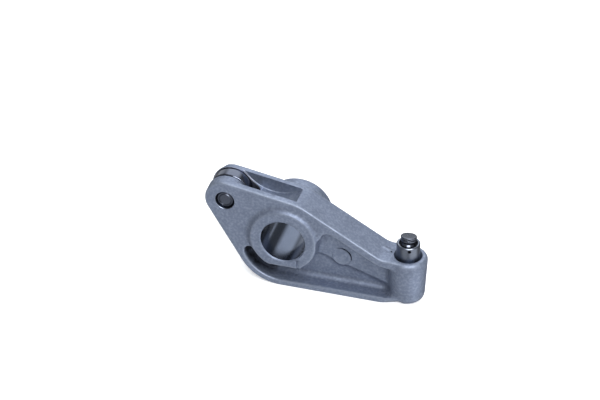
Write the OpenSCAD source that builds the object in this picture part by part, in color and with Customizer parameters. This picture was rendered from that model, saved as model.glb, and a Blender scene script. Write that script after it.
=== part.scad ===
// Roller rocker arm with a hydraulic adjuster and a swivel foot in its valve end.
// Frame: the origin is on the shaft bore's axis, +X points to the adjuster, +Y runs along the bore
// towards the long end of the boss, and +Z points the way the foot faces.

/* [Shaft boss] */
// Diameter of the bore for the rocker shaft
bore_d = 20; // [18:0.5:22]
// Wall of the boss round the bore
boss_wall = 5; // [4.5:0.25:5.5]
// Front face of the boss, measured from the arm's mid-plane
boss_front = 9.5; // [8.5:0.25:12]
// Back face of the boss, measured from the arm's mid-plane
boss_back = 19.25; // [14:0.25:24]
// Rounding of the boss's front rim
boss_round = 0.6; // [0.4:0.1:1.4]
// Rounding of the boss's back rim
boss_back_round = 1.8; // [0.6:0.2:2.4]
// Fillet between the boss and the cheeks
boss_fillet = 2; // [1:0.25:2.5]
// Chamfer at both mouths of the bore
bore_chamfer = 0.5; // [0.3:0.1:1]

/* [Arm casting] */
// Width of the arm across its flanges
arm_w = 15.5; // [14:0.5:18]
// Depth of the flat base below the bore's axis
base_depth = 25; // [24:0.5:28]
// Radius of the belly between the roller end and the base
belly_r = 20; // [19:0.5:21]
// How far the belly's centre lies behind the bore's axis
belly_back = 1.8; // [1:0.2:2.6]
// Casting above the boss, between boss and top edge
crown_wall = 5; // [4.5:0.25:6]
// Slope of the top flange, in degrees
arm_slope = 30; // [28:0.5:31]
// Thickness of the top flange
top_flange_t = 3.8; // [3:0.2:4.4]
// Thickness of the bottom flange
base_flange_t = 3; // [2.6:0.2:3.6]
// Depth of the front recess below the flanges
recess_depth = 7.5; // [6.5:0.25:8]
// Thickness of the web between the recesses
web_t = 4; // [3.5:0.25:5]
// Radius of the fillet where the top flange runs out to the pocket
runout_r = 10; // [6:1:12]
// Radius of the recess's corner beside the boss
corner_r = 3.4; // [2.5:0.1:4]
// Radius of the slot's end, where the recess runs round the boss
slot_end_r = 2.4; // [2:0.1:2.6]

/* [Roller end] */
// Distance of the roller's axis behind the bore's axis
roller_back = 26.5; // [26:0.25:28]
// Height of the roller's axis above the bore's axis
roller_up = 15.5; // [14.5:0.25:16.5]
// Radius of the ears round the roller's pin
ear_r = 9.2; // [9:0.1:10]
// Thickness of the front cheek beside the cam's path
front_cheek_t = 2.8; // [2.4:0.1:3.4]
// Thickness of the back cheek beside the cam's path
back_cheek_t = 3.1; // [2.7:0.1:3.4]
// How much further than the ear's edge the front ear's thrust boss reaches
thrust_extra = 0.2; // [0.1:0.05:0.4]
// Radius of the chamber cored out round the roller
chamber_r = 13.5; // [12.5:0.25:14]
// Corner radius of the chamber at the back cheek
chamber_corner = 3.5; // [2.5:0.25:4]
// Radius of the counterbore that the roller runs in
runway_r = 10.8; // [10.2:0.1:11.4]
// Radius of the trough that clears the cam lobe
cam_r = 17.9; // [16.5:0.2:18]
// How far the trough's centre lies behind the bore's axis
cam_back = 6; // [5:0.25:7]
// Wall left between the trough and the bore
cam_floor_wall = 5.4; // [5:0.2:6]
// Distance from the pin's axis to the flat on the back ear
ear_flat = 8.2; // [7.8:0.1:8.8]
// Direction of the ear's flat, in degrees from +X
ear_flat_angle = 136; // [125:1:145]

/* [Roller bearing] */
// Outer diameter of the roller
roller_d = 17.6; // [17:0.1:18]
// Width of the roller
roller_w = 5.6; // [5:0.1:6]
// Distance of the roller's middle behind the arm's mid-plane
roller_offset = 2.1; // [1.8:0.1:2.4]
// Bevel on the roller's edges
roller_bevel = 0.35; // [0.2:0.05:0.5]
// Gap between the roller and each ear
side_gap = 0.1; // [0.05:0.05:0.2]
// Diameter of the roller's pin
pin_d = 8.6; // [8.2:0.1:9]
// Radial clearance of the pin in the ears
pin_fit = 0.01; // [0.005:0.005:0.02]
// How deep the pin's ends lie below the ears' faces
pin_sink = 0.9; // [0.5:0.1:1.2]
// Chamfer on the pin's ends
pin_chamfer = 1; // [0.7:0.1:1.2]
// Diameter of a needle
needle_d = 2; // [1.9:0.1:2.1]
// Radial clearance of the needles on the pin and in the roller
needle_clearance = 0.015; // [0.01:0.005:0.03]
// Least gap between neighbouring needles
needle_gap = 0.03; // [0.02:0.01:0.06]
// How much shorter the needles are than the roller is wide
needle_short = 0.2; // [0.1:0.05:0.4]

/* [Adjuster pocket] */
// Distance of the adjuster's axis from the bore's axis
head_x = 54; // [52:0.5:58]
// Diameter of the pocket's boss at its top
head_d = 17.2; // [16.6:0.2:18]
// Draft of the pocket's boss: how much its radius falls to the base
head_draft = 1; // [0.4:0.1:1.1]
// Depth of the boss's top face below the bore's axis
head_drop = 2.3; // [1:0.25:3]
// Rounding of the boss's top edge
head_round = 2; // [1.2:0.1:2.2]
// Rounding of the boss's bottom edge
head_base_round = 4; // [3:0.25:4.5]
// Chamfer at the pocket's mouth
pocket_chamfer = 1.1; // [0.6:0.1:1.3]
// Fillet between the web and the pocket's boss
head_fillet = 3; // [2:0.25:3.5]
// How far the bottom flange's corners are eased back from the pocket's axis
base_ease_len = 11; // [9:0.5:12]
// How far the top flange's corners are eased back from the pocket's axis
top_ease_len = 5; // [4:0.25:5.25]

/* [Oil gallery] */
// Diameter of the oil gallery
gallery_d = 3; // [2:0.25:3.25]
// How far the band that carries the gallery stands in front of the web
band_h = 1.6; // [1.5:0.1:2]
// How far the band reaches below the gallery's line
band_below = 2.9; // [2.6:0.1:3.2]
// Fall of the gallery towards the pocket, in degrees
gallery_slope = 19; // [18:0.5:19.5]
// Height at which the gallery crosses the bore's axis
gallery_up = 0.5; // [0:0.25:1]
// Distance of the gallery behind the arm's mid-plane
gallery_offset = 1.2; // [0.8:0.1:1.6]
// Radius of the ejector pad, which is sunk into the band and stands proud below it
pad_r = 4.3; // [3.6:0.1:4.6]
// Distance of the ejector pad from the bore's axis, along the arm
pad_x = 24.7; // [24:0.25:27]
// Height of the ejector pad above the web
pad_h = 1.3; // [1:0.1:1.4]

/* [Boss notch] */
// How much the bottom flat takes off the boss
flat_cut = 1.7; // [1:0.1:2.2]
// Left side of the notch across the front rim
notch_x = 6.3; // [5.8:0.1:6.8]
// Width of the notch
notch_w = 1.5; // [1:0.1:1.8]
// Depth of the notch
notch_depth = 1.1; // [0.6:0.1:1.4]

/* [Adjuster] */
// Outer diameter of the adjuster's sleeve
sleeve_d = 10.3; // [10:0.1:10.6]
// Radial clearance of the sleeve in its pocket
sleeve_clearance = 0.02; // [0.01:0.005:0.04]
// Length of the sleeve
sleeve_len = 23; // [22:0.25:23.5]
// How far the sleeve stands above the pocket's top face
sleeve_stand = 6.7; // [6:0.1:7.4]
// Thickness of the sleeve's floor
sleeve_floor = 2; // [1.6:0.1:2.4]
// Depth of the relief that carries oil up the sleeve
sleeve_relief = 0.35; // [0.2:0.05:0.5]
// Bevel on the sleeve's rim
sleeve_bevel = 0.4; // [0.2:0.05:0.5]
// Diameter of the sleeve's mouth
mouth_d = 8.3; // [8.2:0.1:8.6]
// Depth of the vent hole below the rim
vent_depth = 1.5; // [1.3:0.1:1.8]
// Diameter of the vent hole
vent_d = 1.3; // [1:0.1:1.4]
// Direction of the vent hole, in degrees from +X
vent_angle = -70; // [-90:5:-50]
// Thickness of the disc under the sleeve
disc_t = 0.8; // [0.6:0.1:1]

/* [Plunger] */
// Diameter of the plunger
plunger_d = 7.8; // [7.6:0.1:8]
// Radial clearance of the plunger in the sleeve
plunger_clearance = 0.02; // [0.01:0.005:0.04]
// Depth of the snap ring's upper face below the rim
ring_depth = 2.8; // [2.6:0.1:3.2]
// Thickness of the snap ring
ring_t = 0.5; // [0.4:0.05:0.6]
// Inner diameter of the snap ring
ring_inner_d = 7.2; // [7.15:0.05:7.3]
// How deep the snap ring sits in the sleeve's wall
ring_bite = 0.4; // [0.3:0.05:0.5]
// Gap of the open snap ring, in degrees
ring_gap = 40; // [20:5:60]
// Gap between the snap ring and the parts beside it
ring_clearance = 0.05; // [0.03:0.01:0.1]
// Length of the upper plunger's guide
plunger_len = 6.2; // [5.8:0.1:6.6]
// Length of the valve plunger
valve_len = 5; // [4.6:0.1:5.4]
// Diameter of the oil reservoir in the plungers
reservoir_d = 4.8; // [4.4:0.1:5]
// Thickness of the plungers' inner floors
reservoir_wall = 1.8; // [1.4:0.1:2.2]
// How far the oil groove reaches up the ball plunger
groove_up = 2.6; // [2.4:0.1:3]
// How far the oil groove reaches down the valve plunger
groove_down = 2; // [1.6:0.1:2.4]
// Depth of the plungers' oil groove
oil_groove_depth = 0.4; // [0.3:0.05:0.5]
// Diameter of the oil feed holes
feed_d = 1; // [0.8:0.1:1.2]

/* [Swivel foot] */
// Diameter of the plunger's ball
ball_d = 3.5; // [3.4:0.05:3.6]
// Clearance round the ball in the foot's socket
socket_clearance = 0.03; // [0.02:0.01:0.05]
// Height of the ball's centre above the sleeve's rim
ball_up = 0.85; // [0.7:0.05:1.1]
// Diameter of the foot's face
foot_d = 7.15; // [7:0.05:7.3]
// Thickness of the foot's rim
foot_rim_t = 1.1; // [0.9:0.05:1.2]
// Floor of the foot above the ball
foot_floor = 0.7; // [0.6:0.05:0.8]
// Diameter of the waist below the foot's rim
foot_waist_d = 5.9; // [5.6:0.1:6.2]
// Diameter of the foot's rolled skirt
foot_skirt_d = 6.6; // [6.4:0.1:6.8]
// How far the skirt grips below the ball's centre
foot_grip = 0.7; // [0.6:0.05:0.75]
// Rounding of the foot's edges
foot_round = 0.4; // [0.3:0.05:0.45]
// Lean of the foot at rest, in degrees
foot_lean = 13; // [8:1:14]
// Diameter of the neck under the ball
neck_d = 2.2; // [2:0.1:2.3]
// Diameter at the foot of the neck's flare
flare_d = 6.6; // [6.2:0.1:6.8]

/* [Check valve] */
// Diameter of the check ball
check_d = 2.5; // [2.4:0.05:2.6]
// Diameter of the valve seat's hole
seat_d = 1.8; // [1.6:0.05:1.9]
// Clearance between the ball and its seat
seat_clearance = 0.02; // [0.01:0.01:0.04]
// Lift of the ball off its seat
check_lift = 0.22; // [0.15:0.01:0.25]
// Thickness of the cage's sheet
cage_t = 0.3; // [0.25:0.05:0.35]
// Diameter of the cage's flange
cage_d = 5.8; // [5.6:0.1:6]
// Clearance round the ball in the cage
cage_clearance = 0.3; // [0.2:0.05:0.35]
// Depth of the recess for the cage's flange
cage_recess = 0.8; // [0.6:0.1:1]
// Diameter of the oil holes in the cage's floor
cage_hole_d = 0.6; // [0.4:0.1:0.7]
// Room for the ball's spring, below the ball's travel
check_room = 0.4; // [0.35:0.05:0.5]
// Wire of the ball's spring
check_wire = 0.16; // [0.12:0.02:0.18]
// Mean diameter of the ball's spring
check_coil_d = 1.75; // [1.6:0.05:1.9]
// Turns of the ball's spring
check_turns = 2; // [1.5:0.25:2]
// Wire of the return spring
return_wire = 0.8; // [0.7:0.05:0.85]
// Mean diameter of the return spring
return_coil_d = 6.2; // [6:0.05:6.3]
// Turns of the return spring
return_turns = 3; // [2.5:0.25:3]
// Gap between a spring and what it bears on
spring_gap = 0.05; // [0.03:0.01:0.1]

/* [Hidden] */
$fn = 64;
arc_step = 5;
over = 1;
least_ease = 0.1;
pad_step = 0.1;
half_w = arm_w / 2;
bore_r = bore_d / 2;
boss_r = bore_r + boss_wall;
crown_r = boss_r + crown_wall;
web_front = recess_depth - half_w;
web_back = web_front + web_t;

// Places in the side view are [x, z].
pin_at = [-roller_back, roller_up];
belly_at = [-belly_back, belly_r - base_depth];
cam_at = [-cam_back, bore_r + cam_floor_wall + cam_r];
head_r = head_d / 2;
head_base_r = head_r - head_draft;
slope_normal = 90 - arm_slope;

// The fillet round the boss ends where the rim's rounding starts.
fillet_h = max(least_ease, min(boss_front - half_w - boss_round, boss_fillet - least_ease));
fillet_angle = asin(1 - fillet_h / boss_fillet);
fillet_edge = boss_r + boss_fillet * cos(fillet_angle);

// Depths along the bore.
thrust_face = roller_offset - roller_w / 2 - side_gap;
runway_face = roller_offset + roller_w / 2 + side_gap;
front_inner = front_cheek_t - half_w;
back_inner = half_w - back_cheek_t;

roller_r = roller_d / 2;
pin_r = pin_d / 2;
needle_r = needle_d / 2;
needle_pitch_r = pin_r + needle_r + needle_clearance;
race_r = needle_pitch_r + needle_r + needle_clearance;
needle_count = floor(180 / asin((needle_r + needle_gap / 2) / needle_pitch_r));

sleeve_r = sleeve_d / 2;
pocket_r = sleeve_r + sleeve_clearance;
rim_z = sleeve_stand - head_drop;
sleeve_base = rim_z - sleeve_len;
pocket_floor = sleeve_base - disc_t;
chamber_floor = sleeve_base + sleeve_floor;
plunger_r = plunger_d / 2;
guide_r = plunger_r + plunger_clearance;
mouth_r = mouth_d / 2;
ring_top = rim_z - ring_depth;
ring_base = ring_top - ring_t;
ring_outer_r = guide_r + ring_bite;
shoulder_z = ring_base - ring_clearance;
plunger_base = shoulder_z - plunger_len;
valve_top = plunger_base;
valve_base = valve_top - valve_len;
reservoir_r = reservoir_d / 2;
groove_r = plunger_r - oil_groove_depth;
feed_z = valve_top - groove_down / 2;
ball_r = ball_d / 2;
ball_z = rim_z + ball_up;
socket_r = ball_r + socket_clearance;
foot_top = socket_r + foot_floor;
check_r = check_d / 2;
seat_r = seat_d / 2;
seat_z = valve_base + cage_recess;
check_z = seat_z - sqrt(check_r * check_r - seat_r * seat_r) - seat_clearance;
cage_in_r = check_r + cage_clearance;
cage_floor = check_z - check_r - check_lift - check_room;
return_top = valve_base - spring_gap;
return_base = chamber_floor + spring_gap;
check_coil_r = check_coil_d / 2;
check_top = check_z - sqrt(check_r * check_r - check_coil_r * check_coil_r) - check_wire / 2 - spring_gap;

function pad2(n) = n < 10 ? str("0", n) : str(n);
function needle_name(i) = str("needle_", pad2(i + 1));
needle_names = [for (i = [0:needle_count - 1]) needle_name(i)];

// Point at angle a on a circle.
function on_circle(c, r, a) = [c[0] + r * cos(a), c[1] + r * sin(a)];

// Points along an arc, both ends included.
function arc(c, r, a0, a1) =
    let (steps = max(1, ceil(abs(a1 - a0) / arc_step)))
    [for (i = [0:steps]) on_circle(c, r, a0 + (a1 - a0) * i / steps)];

// Direction of the normal where a straight edge leaves two circles on the side given by turn.
function edge_normal(c1, r1, c2, r2, turn) =
    let (d = c2 - c1)
    atan2(d[1], d[0]) + turn * acos((r1 - r2) / norm(d));

// Where two circles cross, on the side given by turn.
function crossing(c1, r1, c2, r2, turn) =
    let (d = norm(c2 - c1), a = (d * d + r1 * r1 - r2 * r2) / (2 * d))
    on_circle(c1, r1, atan2(c2[1] - c1[1], c2[0] - c1[0]) + turn * acos(a / r1));

// Centre of a fillet of radius r over the corner between the sloping top and a level line at z.
function runout_at(z, r) = [(crown_r + r - (z + r) * sin(slope_normal)) / cos(slope_normal), z + r];

// Side outline of the arm, from the base round to the base again.
function arm_outline() =
    let (top = edge_normal(pin_at, ear_r, [0, 0], crown_r, 1),
         left = edge_normal(belly_at, belly_r, pin_at, ear_r, 1),
         runout = runout_at(-head_drop, runout_r))
    concat(
        [[head_x, -base_depth], [head_x, -head_drop]],
        arc(runout, runout_r, 270, 180 + slope_normal),
        arc([0, 0], crown_r, slope_normal, top),
        arc(pin_at, ear_r, top, left),
        arc(belly_at, belly_r, left, 270)
    );

// Outline of a recess: it follows the flanges inside, and runs on into a slot round the boss.
function recess_outline() =
    let (slot_at = crossing([0, 0], boss_r + slot_end_r, belly_at, belly_r - base_flange_t - slot_end_r, -1),
         slot_out = (atan2(slot_at[1] - belly_at[1], slot_at[0] - belly_at[0]) + 360) % 360,
         slot_in = atan2(-slot_at[1], -slot_at[0]),
         corner_d = crown_r - top_flange_t - corner_r,
         corner_reach = fillet_edge + corner_r,
         corner_at = on_circle([0, 0], corner_reach, slope_normal - acos(corner_d / corner_reach)),
         under = -head_drop - top_flange_t,
         runout = [runout_at(-head_drop, runout_r)[0], under + runout_r + top_flange_t])
    concat(
        [[head_x, -base_depth + base_flange_t], [head_x, under]],
        arc(runout, runout_r + top_flange_t, 270, 180 + slope_normal),
        arc(corner_at, corner_r, slope_normal, 180),
        [[bore_r, 0], [-bore_r, 0]],
        arc(slot_at, slot_end_r, slot_in, slot_out),
        arc(belly_at, belly_r - base_flange_t, slot_out, 270)
    );

// Extrudes a side view from depth y0 to depth y1.
module slab(y0, y1) {
    translate([0, y1, 0])
        rotate([90, 0, 0])
            linear_extrude(height = y1 - y0)
                children();
}

// Turns a profile of [radius, depth] points about the bore-wise axis through a side-view point.
module turned(at) {
    translate([at[0], 0, at[1]])
        rotate([-90, 0, 0])
            rotate_extrude()
                children();
}

// Turns a profile of [radius, z] points about the adjuster's axis.
module on_head() {
    translate([head_x, 0, 0])
        children();
}

// Flange plate with the fillets that ease the boss into its cheeks, before the recesses.
module arm_plate() {
    slab(-half_w, half_w) polygon(arm_outline());
    turned([0, 0]) polygon(concat(
        [[0, -half_w + over], [0, -half_w - fillet_h]],
        arc([fillet_edge, -half_w - boss_fillet], boss_fillet, 180 - fillet_angle, 90),
        [[fillet_edge, -half_w + over]]));
    turned([0, 0]) polygon(concat(
        [[0, half_w - over], [fillet_edge, half_w - over]],
        arc([fillet_edge, half_w + boss_fillet], boss_fillet, 270, 180 + fillet_angle),
        [[0, half_w + fillet_h]]));
}

module recesses() {
    slab(-half_w - boss_fillet - over, web_front) polygon(recess_outline());
    slab(web_back, half_w + boss_fillet + over) polygon(recess_outline());
}

module shaft_boss() {
    turned([0, 0]) polygon(concat(
        [[0, -boss_front]],
        arc([boss_r - boss_round, -boss_front + boss_round], boss_round, 270, 360),
        arc([boss_r - boss_back_round, boss_back - boss_back_round], boss_back_round, 0, 90),
        [[0, boss_back]]));
}

// The pocket's boss is drafted, with a rounded top edge and a rounder base.
module pocket_boss() {
    on_head() rotate_extrude() polygon(concat(
        [[0, -base_depth]],
        arc([head_base_r - head_base_round, -base_depth + head_base_round], head_base_round, 270, 360),
        arc([head_r - head_round, -head_drop - head_round], head_round, 0, 90),
        [[0, -head_drop]]));
}

// Slices off the flanges' corners, so that they run out into the rounded rims of the pocket's boss.
module corner_eases() {
    corner_ease(-base_depth, 0, half_w - head_base_r + head_base_round + least_ease, base_ease_len);
    corner_ease(-head_drop, 1, max(half_w - head_r + head_round, least_ease), top_ease_len);
}

// Both corners of one flange, at height z: up is 1 where the slice faces upwards.
module corner_ease(z, up, ease, len) {
    for (side = [0, 1])
        mirror([0, side, 0])
            translate([head_x - len, half_w, z])
                mirror([0, 0, up])
                    rotate([0, atan2(len, norm([ease, len])), atan2(len, ease)])
                        translate([0, -len, -len])
                            cube(2 * len);
}

// Upright fillet between the web's front and the pocket's boss.
module pocket_fillet() {
    reach = sqrt(pow(head_base_r + head_fillet, 2) - pow(head_fillet - web_front, 2));
    centre = [head_x - reach, web_front - head_fillet];
    meet = atan2(-centre[1], head_x - centre[0]);
    translate([0, 0, -base_depth + base_flange_t / 2])
        linear_extrude(height = base_depth - base_flange_t / 2 - head_drop - top_flange_t / 2)
            polygon(concat(
                arc(centre, head_fillet, 90, meet),
                [[head_x, 0], [head_x, web_front + over], [centre[0], web_front + over]]));
}

// Places its children on the gallery's line, with their axis along it towards the pocket.
module on_gallery() {
    translate([0, gallery_offset, gallery_up])
        rotate([0, 90 + gallery_slope, 0])
            children();
}

// Height of the gallery's line in the side view.
function gallery_z(x) = gallery_up - x * tan(gallery_slope);

// Thick band between the gallery's underside and the middle of the top flange.
module gallery_band() {
    x0 = bore_r + boss_wall / 2;
    x1 = head_x - head_base_r / 2;
    mid_r = crown_r - top_flange_t / 2;
    mid_z = -head_drop - top_flange_t / 2;
    bend_x = (mid_r - mid_z * sin(slope_normal)) / cos(slope_normal);
    below = band_below / cos(gallery_slope);
    slab(web_front - band_h, web_front + over) polygon([
        [x0, gallery_z(x0) - below], [x1, gallery_z(x1) - below], [x1, mid_z], [bend_x, mid_z],
        [x0, (mid_r - x0 * cos(slope_normal)) / sin(slope_normal)]]);
}

// Stands a disc of radius r on the pad's place, from depth y0 to depth y1.
module at_pad(y0, y1, r) {
    slab(y0, y1) translate([pad_x, gallery_z(pad_x)]) circle(r = r);
}

module ejector_pad() {
    at_pad(web_front - pad_h - pad_step, web_front + over, pad_r);
}

module pad_face() {
    at_pad(web_front - band_h - over, web_front - pad_h, pad_r + pad_step);
}

// Chamber round the roller, with the front ear's thrust boss left standing in it.
module roller_chamber() {
    thrust_r = ear_r + thrust_extra;
    corner_y = back_inner - chamber_corner;
    corner_r_at = chamber_r - chamber_corner;
    turned(pin_at) polygon(concat(
        [[0, thrust_face], [thrust_r, thrust_face], [thrust_r, front_inner], [chamber_r, front_inner]],
        arc([corner_r_at, corner_y], chamber_corner, 0, acos((runway_r - corner_r_at) / chamber_corner)),
        [[runway_r, runway_face], [0, runway_face]]));
}

module cam_trough() {
    slab(front_inner, back_inner) translate(cam_at) circle(r = cam_r, $fn = 128);
}

module ear_flat_cut() {
    translate([pin_at[0], half_w + over, pin_at[1]])
        rotate([90, 0, 0])
            rotate([0, 0, ear_flat_angle])
                translate([ear_flat, -ear_r, 0])
                    cube([ear_r, 2 * ear_r, half_w + over - runway_face + side_gap]);
}

module boss_notch() {
    flat_depth = boss_r - flat_cut;
    flat_left = sqrt(boss_r * boss_r - flat_depth * flat_depth) + over;
    translate([-flat_left, -boss_front - over, -boss_r - over / 2])
        cube([flat_left + notch_x, boss_front + over + web_front, flat_cut + over / 2]);
    translate([notch_x, -boss_front - over, -boss_r - over])
        cube([notch_w, notch_depth + over, boss_r + over - bore_r / 2]);
}

module bore_cuts() {
    translate([0, -boss_front - over, 0])
        rotate([-90, 0, 0])
            cylinder(r = bore_r, h = boss_front + boss_back + 2 * over, $fn = 96);
    turned([0, 0]) polygon([[0, -boss_front - over], [bore_r + bore_chamfer + over, -boss_front - over],
        [bore_r - over, -boss_front + bore_chamfer + over], [0, -boss_front + bore_chamfer + over]]);
    turned([0, 0]) polygon([[0, boss_back + over], [bore_r + bore_chamfer + over, boss_back + over],
        [bore_r - over, boss_back - bore_chamfer - over], [0, boss_back - bore_chamfer - over]]);
}

module pin_hole() {
    translate([pin_at[0], -half_w - over, pin_at[1]])
        rotate([-90, 0, 0])
            cylinder(r = pin_r + pin_fit, h = arm_w + 2 * over);
}

module pocket_cuts() {
    on_head() {
        translate([0, 0, pocket_floor])
            cylinder(r = pocket_r, h = -head_drop + over - pocket_floor);
        translate([0, 0, -head_drop - pocket_chamfer])
            cylinder(r1 = pocket_r, r2 = pocket_r + pocket_chamfer + over, h = pocket_chamfer + over);
    }
}

// One drilling from the roller's chamber through the bore to the pocket feeds both ends with oil.
module gallery_cut() {
    start = roller_back / cos(gallery_slope);
    on_gallery()
        translate([0, 0, -start])
            cylinder(r = gallery_d / 2, h = start + (head_x - sleeve_r + sleeve_relief) / cos(gallery_slope));
}

module rocker_body() {
    color("lightsteelblue")
        difference() {
            union() {
                difference() {
                    arm_plate();
                    recesses();
                    corner_eases();
                }
                shaft_boss();
                pocket_boss();
                pocket_fillet();
                gallery_band();
                ejector_pad();
            }
            roller_chamber();
            cam_trough();
            ear_flat_cut();
            boss_notch();
            bore_cuts();
            pin_hole();
            pocket_cuts();
            gallery_cut();
            pad_face();
        }
}

module roller_pin() {
    y0 = -half_w + pin_sink;
    y1 = half_w - pin_sink;
    color("dimgray")
        turned(pin_at) polygon([[0, y0], [pin_r - pin_chamfer, y0], [pin_r, y0 + pin_chamfer],
            [pin_r, y1 - pin_chamfer], [pin_r - pin_chamfer, y1], [0, y1]]);
}

module roller_ring() {
    y0 = thrust_face + side_gap;
    y1 = runway_face - side_gap;
    color("silver")
        turned(pin_at) polygon([[race_r, y0], [roller_r - roller_bevel, y0], [roller_r, y0 + roller_bevel],
            [roller_r, y1 - roller_bevel], [roller_r - roller_bevel, y1], [race_r, y1]]);
}

module needle(i) {
    at = on_circle(pin_at, needle_pitch_r, 360 * i / needle_count);
    color("gainsboro")
        translate([at[0], roller_offset - (roller_w - needle_short) / 2, at[1]])
            rotate([-90, 0, 0])
                cylinder(r = needle_r, h = roller_w - needle_short, $fn = 32);
}

module adjuster_sleeve() {
    relief_base = sleeve_base + sleeve_floor / 2;
    land_base = feed_z + feed_d;
    color("slategray")
        on_head() difference() {
            rotate_extrude() polygon([
                [0, sleeve_base], [sleeve_r - sleeve_bevel, sleeve_base], [sleeve_r, sleeve_base + sleeve_bevel],
                [sleeve_r, relief_base], [sleeve_r - sleeve_relief, relief_base + sleeve_relief],
                [sleeve_r - sleeve_relief, land_base - sleeve_relief], [sleeve_r, land_base],
                [sleeve_r, rim_z - sleeve_bevel], [sleeve_r - sleeve_bevel, rim_z], [mouth_r, rim_z],
                [mouth_r, ring_top + ring_clearance], [ring_outer_r + ring_clearance, ring_top + ring_clearance],
                [ring_outer_r + ring_clearance, shoulder_z], [guide_r, shoulder_z],
                [guide_r, chamber_floor], [0, chamber_floor]]);
            translate([0, 0, rim_z - vent_depth])
                rotate([0, 90, vent_angle])
                    cylinder(r = vent_d / 2, h = sleeve_r + over, $fn = 32);
            translate([0, 0, feed_z])
                rotate([0, -90, 0])
                    cylinder(r = feed_d / 2, h = sleeve_r + over, $fn = 32);
        }
}

module support_disc() {
    color("gray")
        on_head()
            translate([0, 0, pocket_floor])
                cylinder(r = sleeve_r - sleeve_relief, h = disc_t);
}

module snap_ring() {
    color("darkslategray")
        on_head()
            rotate([0, 0, 90 + ring_gap / 2])
                rotate_extrude(angle = 360 - ring_gap)
                    translate([ring_inner_d / 2, ring_base])
                        square([ring_outer_r - ring_inner_d / 2, ring_t]);
}

// Upper plunger: guide above its oil groove, flared neck and the ball that carries the foot.
module ball_plunger() {
    groove_top = plunger_base + groove_up;
    neck_r = neck_d / 2;
    flare_r = flare_d / 2;
    flare_h = flare_r - neck_r;
    color("darkgray")
        on_head() difference() {
            union() {
                rotate_extrude() polygon(concat(
                    [[0, plunger_base], [groove_r, plunger_base], [groove_r, groove_top],
                     [plunger_r, groove_top], [plunger_r, shoulder_z]],
                    arc([flare_r, shoulder_z + flare_h], flare_h, 270, 180),
                    [[neck_r, ball_z], [0, ball_z]]));
                translate([0, 0, ball_z])
                    sphere(r = ball_r);
            }
            translate([0, 0, plunger_base - over])
                cylinder(r = reservoir_r, h = plunger_len - reservoir_wall + over);
        }
}

// Lower plunger: oil comes in from the groove, and goes on through the seat to the chamber below.
module valve_plunger() {
    groove_base = valve_top - groove_down;
    recess_r = cage_d / 2 + plunger_clearance;
    color("darkgray")
        on_head() difference() {
            rotate_extrude() polygon([
                [reservoir_r, valve_top], [groove_r, valve_top], [groove_r, groove_base],
                [plunger_r, groove_base], [plunger_r, valve_base], [recess_r, valve_base], [recess_r, seat_z],
                [seat_r, seat_z], [seat_r, seat_z + reservoir_wall], [reservoir_r, seat_z + reservoir_wall]]);
            translate([0, 0, feed_z])
                rotate([0, -90, 0])
                    cylinder(r = feed_d / 2, h = plunger_r + over, $fn = 32);
        }
}

// The foot is turned about the ball's centre and leans as it rests.
module swivel_foot() {
    rim_r = foot_d / 2;
    waist_r = foot_waist_d / 2;
    skirt_r = foot_skirt_d / 2;
    rim_base = foot_top - foot_rim_t;
    skirt_mid = -foot_grip + skirt_r - waist_r;
    color("darkslategray")
        on_head() translate([0, 0, ball_z])
            rotate([-foot_lean, 0, 0])
                difference() {
                    rotate_extrude() polygon(concat(
                        [[0, -foot_grip]],
                        arc([skirt_r - foot_round, skirt_mid], foot_round, 270, 380),
                        [[waist_r, (skirt_mid + rim_base) / 2 + foot_round], [waist_r, rim_base]],
                        arc([rim_r - foot_round, rim_base + foot_round], foot_round, 270, 360),
                        arc([rim_r - foot_round, foot_top - foot_round], foot_round, 0, 90),
                        [[0, foot_top]]));
                    sphere(r = socket_r);
                }
}

module check_ball() {
    color("silver")
        on_head() translate([0, 0, check_z])
            sphere(r = check_r, $fn = 48);
}

// Hat-shaped cage: its flange lies under the seat, and its floor carries the ball's spring.
module check_cage() {
    wall_r = cage_in_r + cage_t;
    color("tan")
        on_head() difference() {
            rotate_extrude() polygon([
                [0, cage_floor], [cage_in_r, cage_floor], [cage_in_r, seat_z], [cage_d / 2, seat_z],
                [cage_d / 2, seat_z - cage_t], [wall_r, seat_z - cage_t], [wall_r, cage_floor - cage_t],
                [0, cage_floor - cage_t]]);
            for (a = [45:90:315])
                rotate([0, 0, a])
                    translate([cage_in_r / 2, 0, cage_floor - cage_t - over])
                        cylinder(r = cage_hole_d / 2, h = cage_t + 2 * over, $fn = 24);
        }
}

// Round wire wound into a coil between two heights, as rings of points joined up.
module coil(coil_r, wire, turns, z0, z1, ring_steps, sides) {
    rings = ceil(turns * ring_steps);
    low = z0 + wire / 2;
    rise = z1 - z0 - wire;
    points = [for (i = [0:rings]) for (j = [0:sides - 1])
        let (a = 360 * turns * i / rings,
             b = 360 * j / sides,
             r = coil_r + wire / 2 * cos(b))
        [r * cos(a), r * sin(a), low + rise * i / rings + wire / 2 * sin(b)]];
    walls = [for (i = [0:rings - 1]) for (j = [0:sides - 1])
        let (k = (j + 1) % sides)
        [i * sides + j, i * sides + k, (i + 1) * sides + k, (i + 1) * sides + j]];
    first = [for (j = [sides - 1:-1:0]) j];
    last = [for (j = [0:sides - 1]) rings * sides + j];
    polyhedron(points, concat([first, last], walls), convexity = 4);
}

module check_spring() {
    color("silver")
        on_head() coil(check_coil_r, check_wire, check_turns, cage_floor + spring_gap, check_top, 20, 8);
}

module return_spring() {
    color("silver")
        on_head() coil(return_coil_d / 2, return_wire, return_turns, return_base, return_top, 28, 10);
}

rocker_body();
roller_pin();
roller_ring();
for (i = [0:needle_count - 1])
    needle(i);
adjuster_sleeve();
support_disc();
snap_ring();
ball_plunger();
valve_plunger();
swivel_foot();
check_ball();
check_spring();
check_cage();
return_spring();
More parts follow.
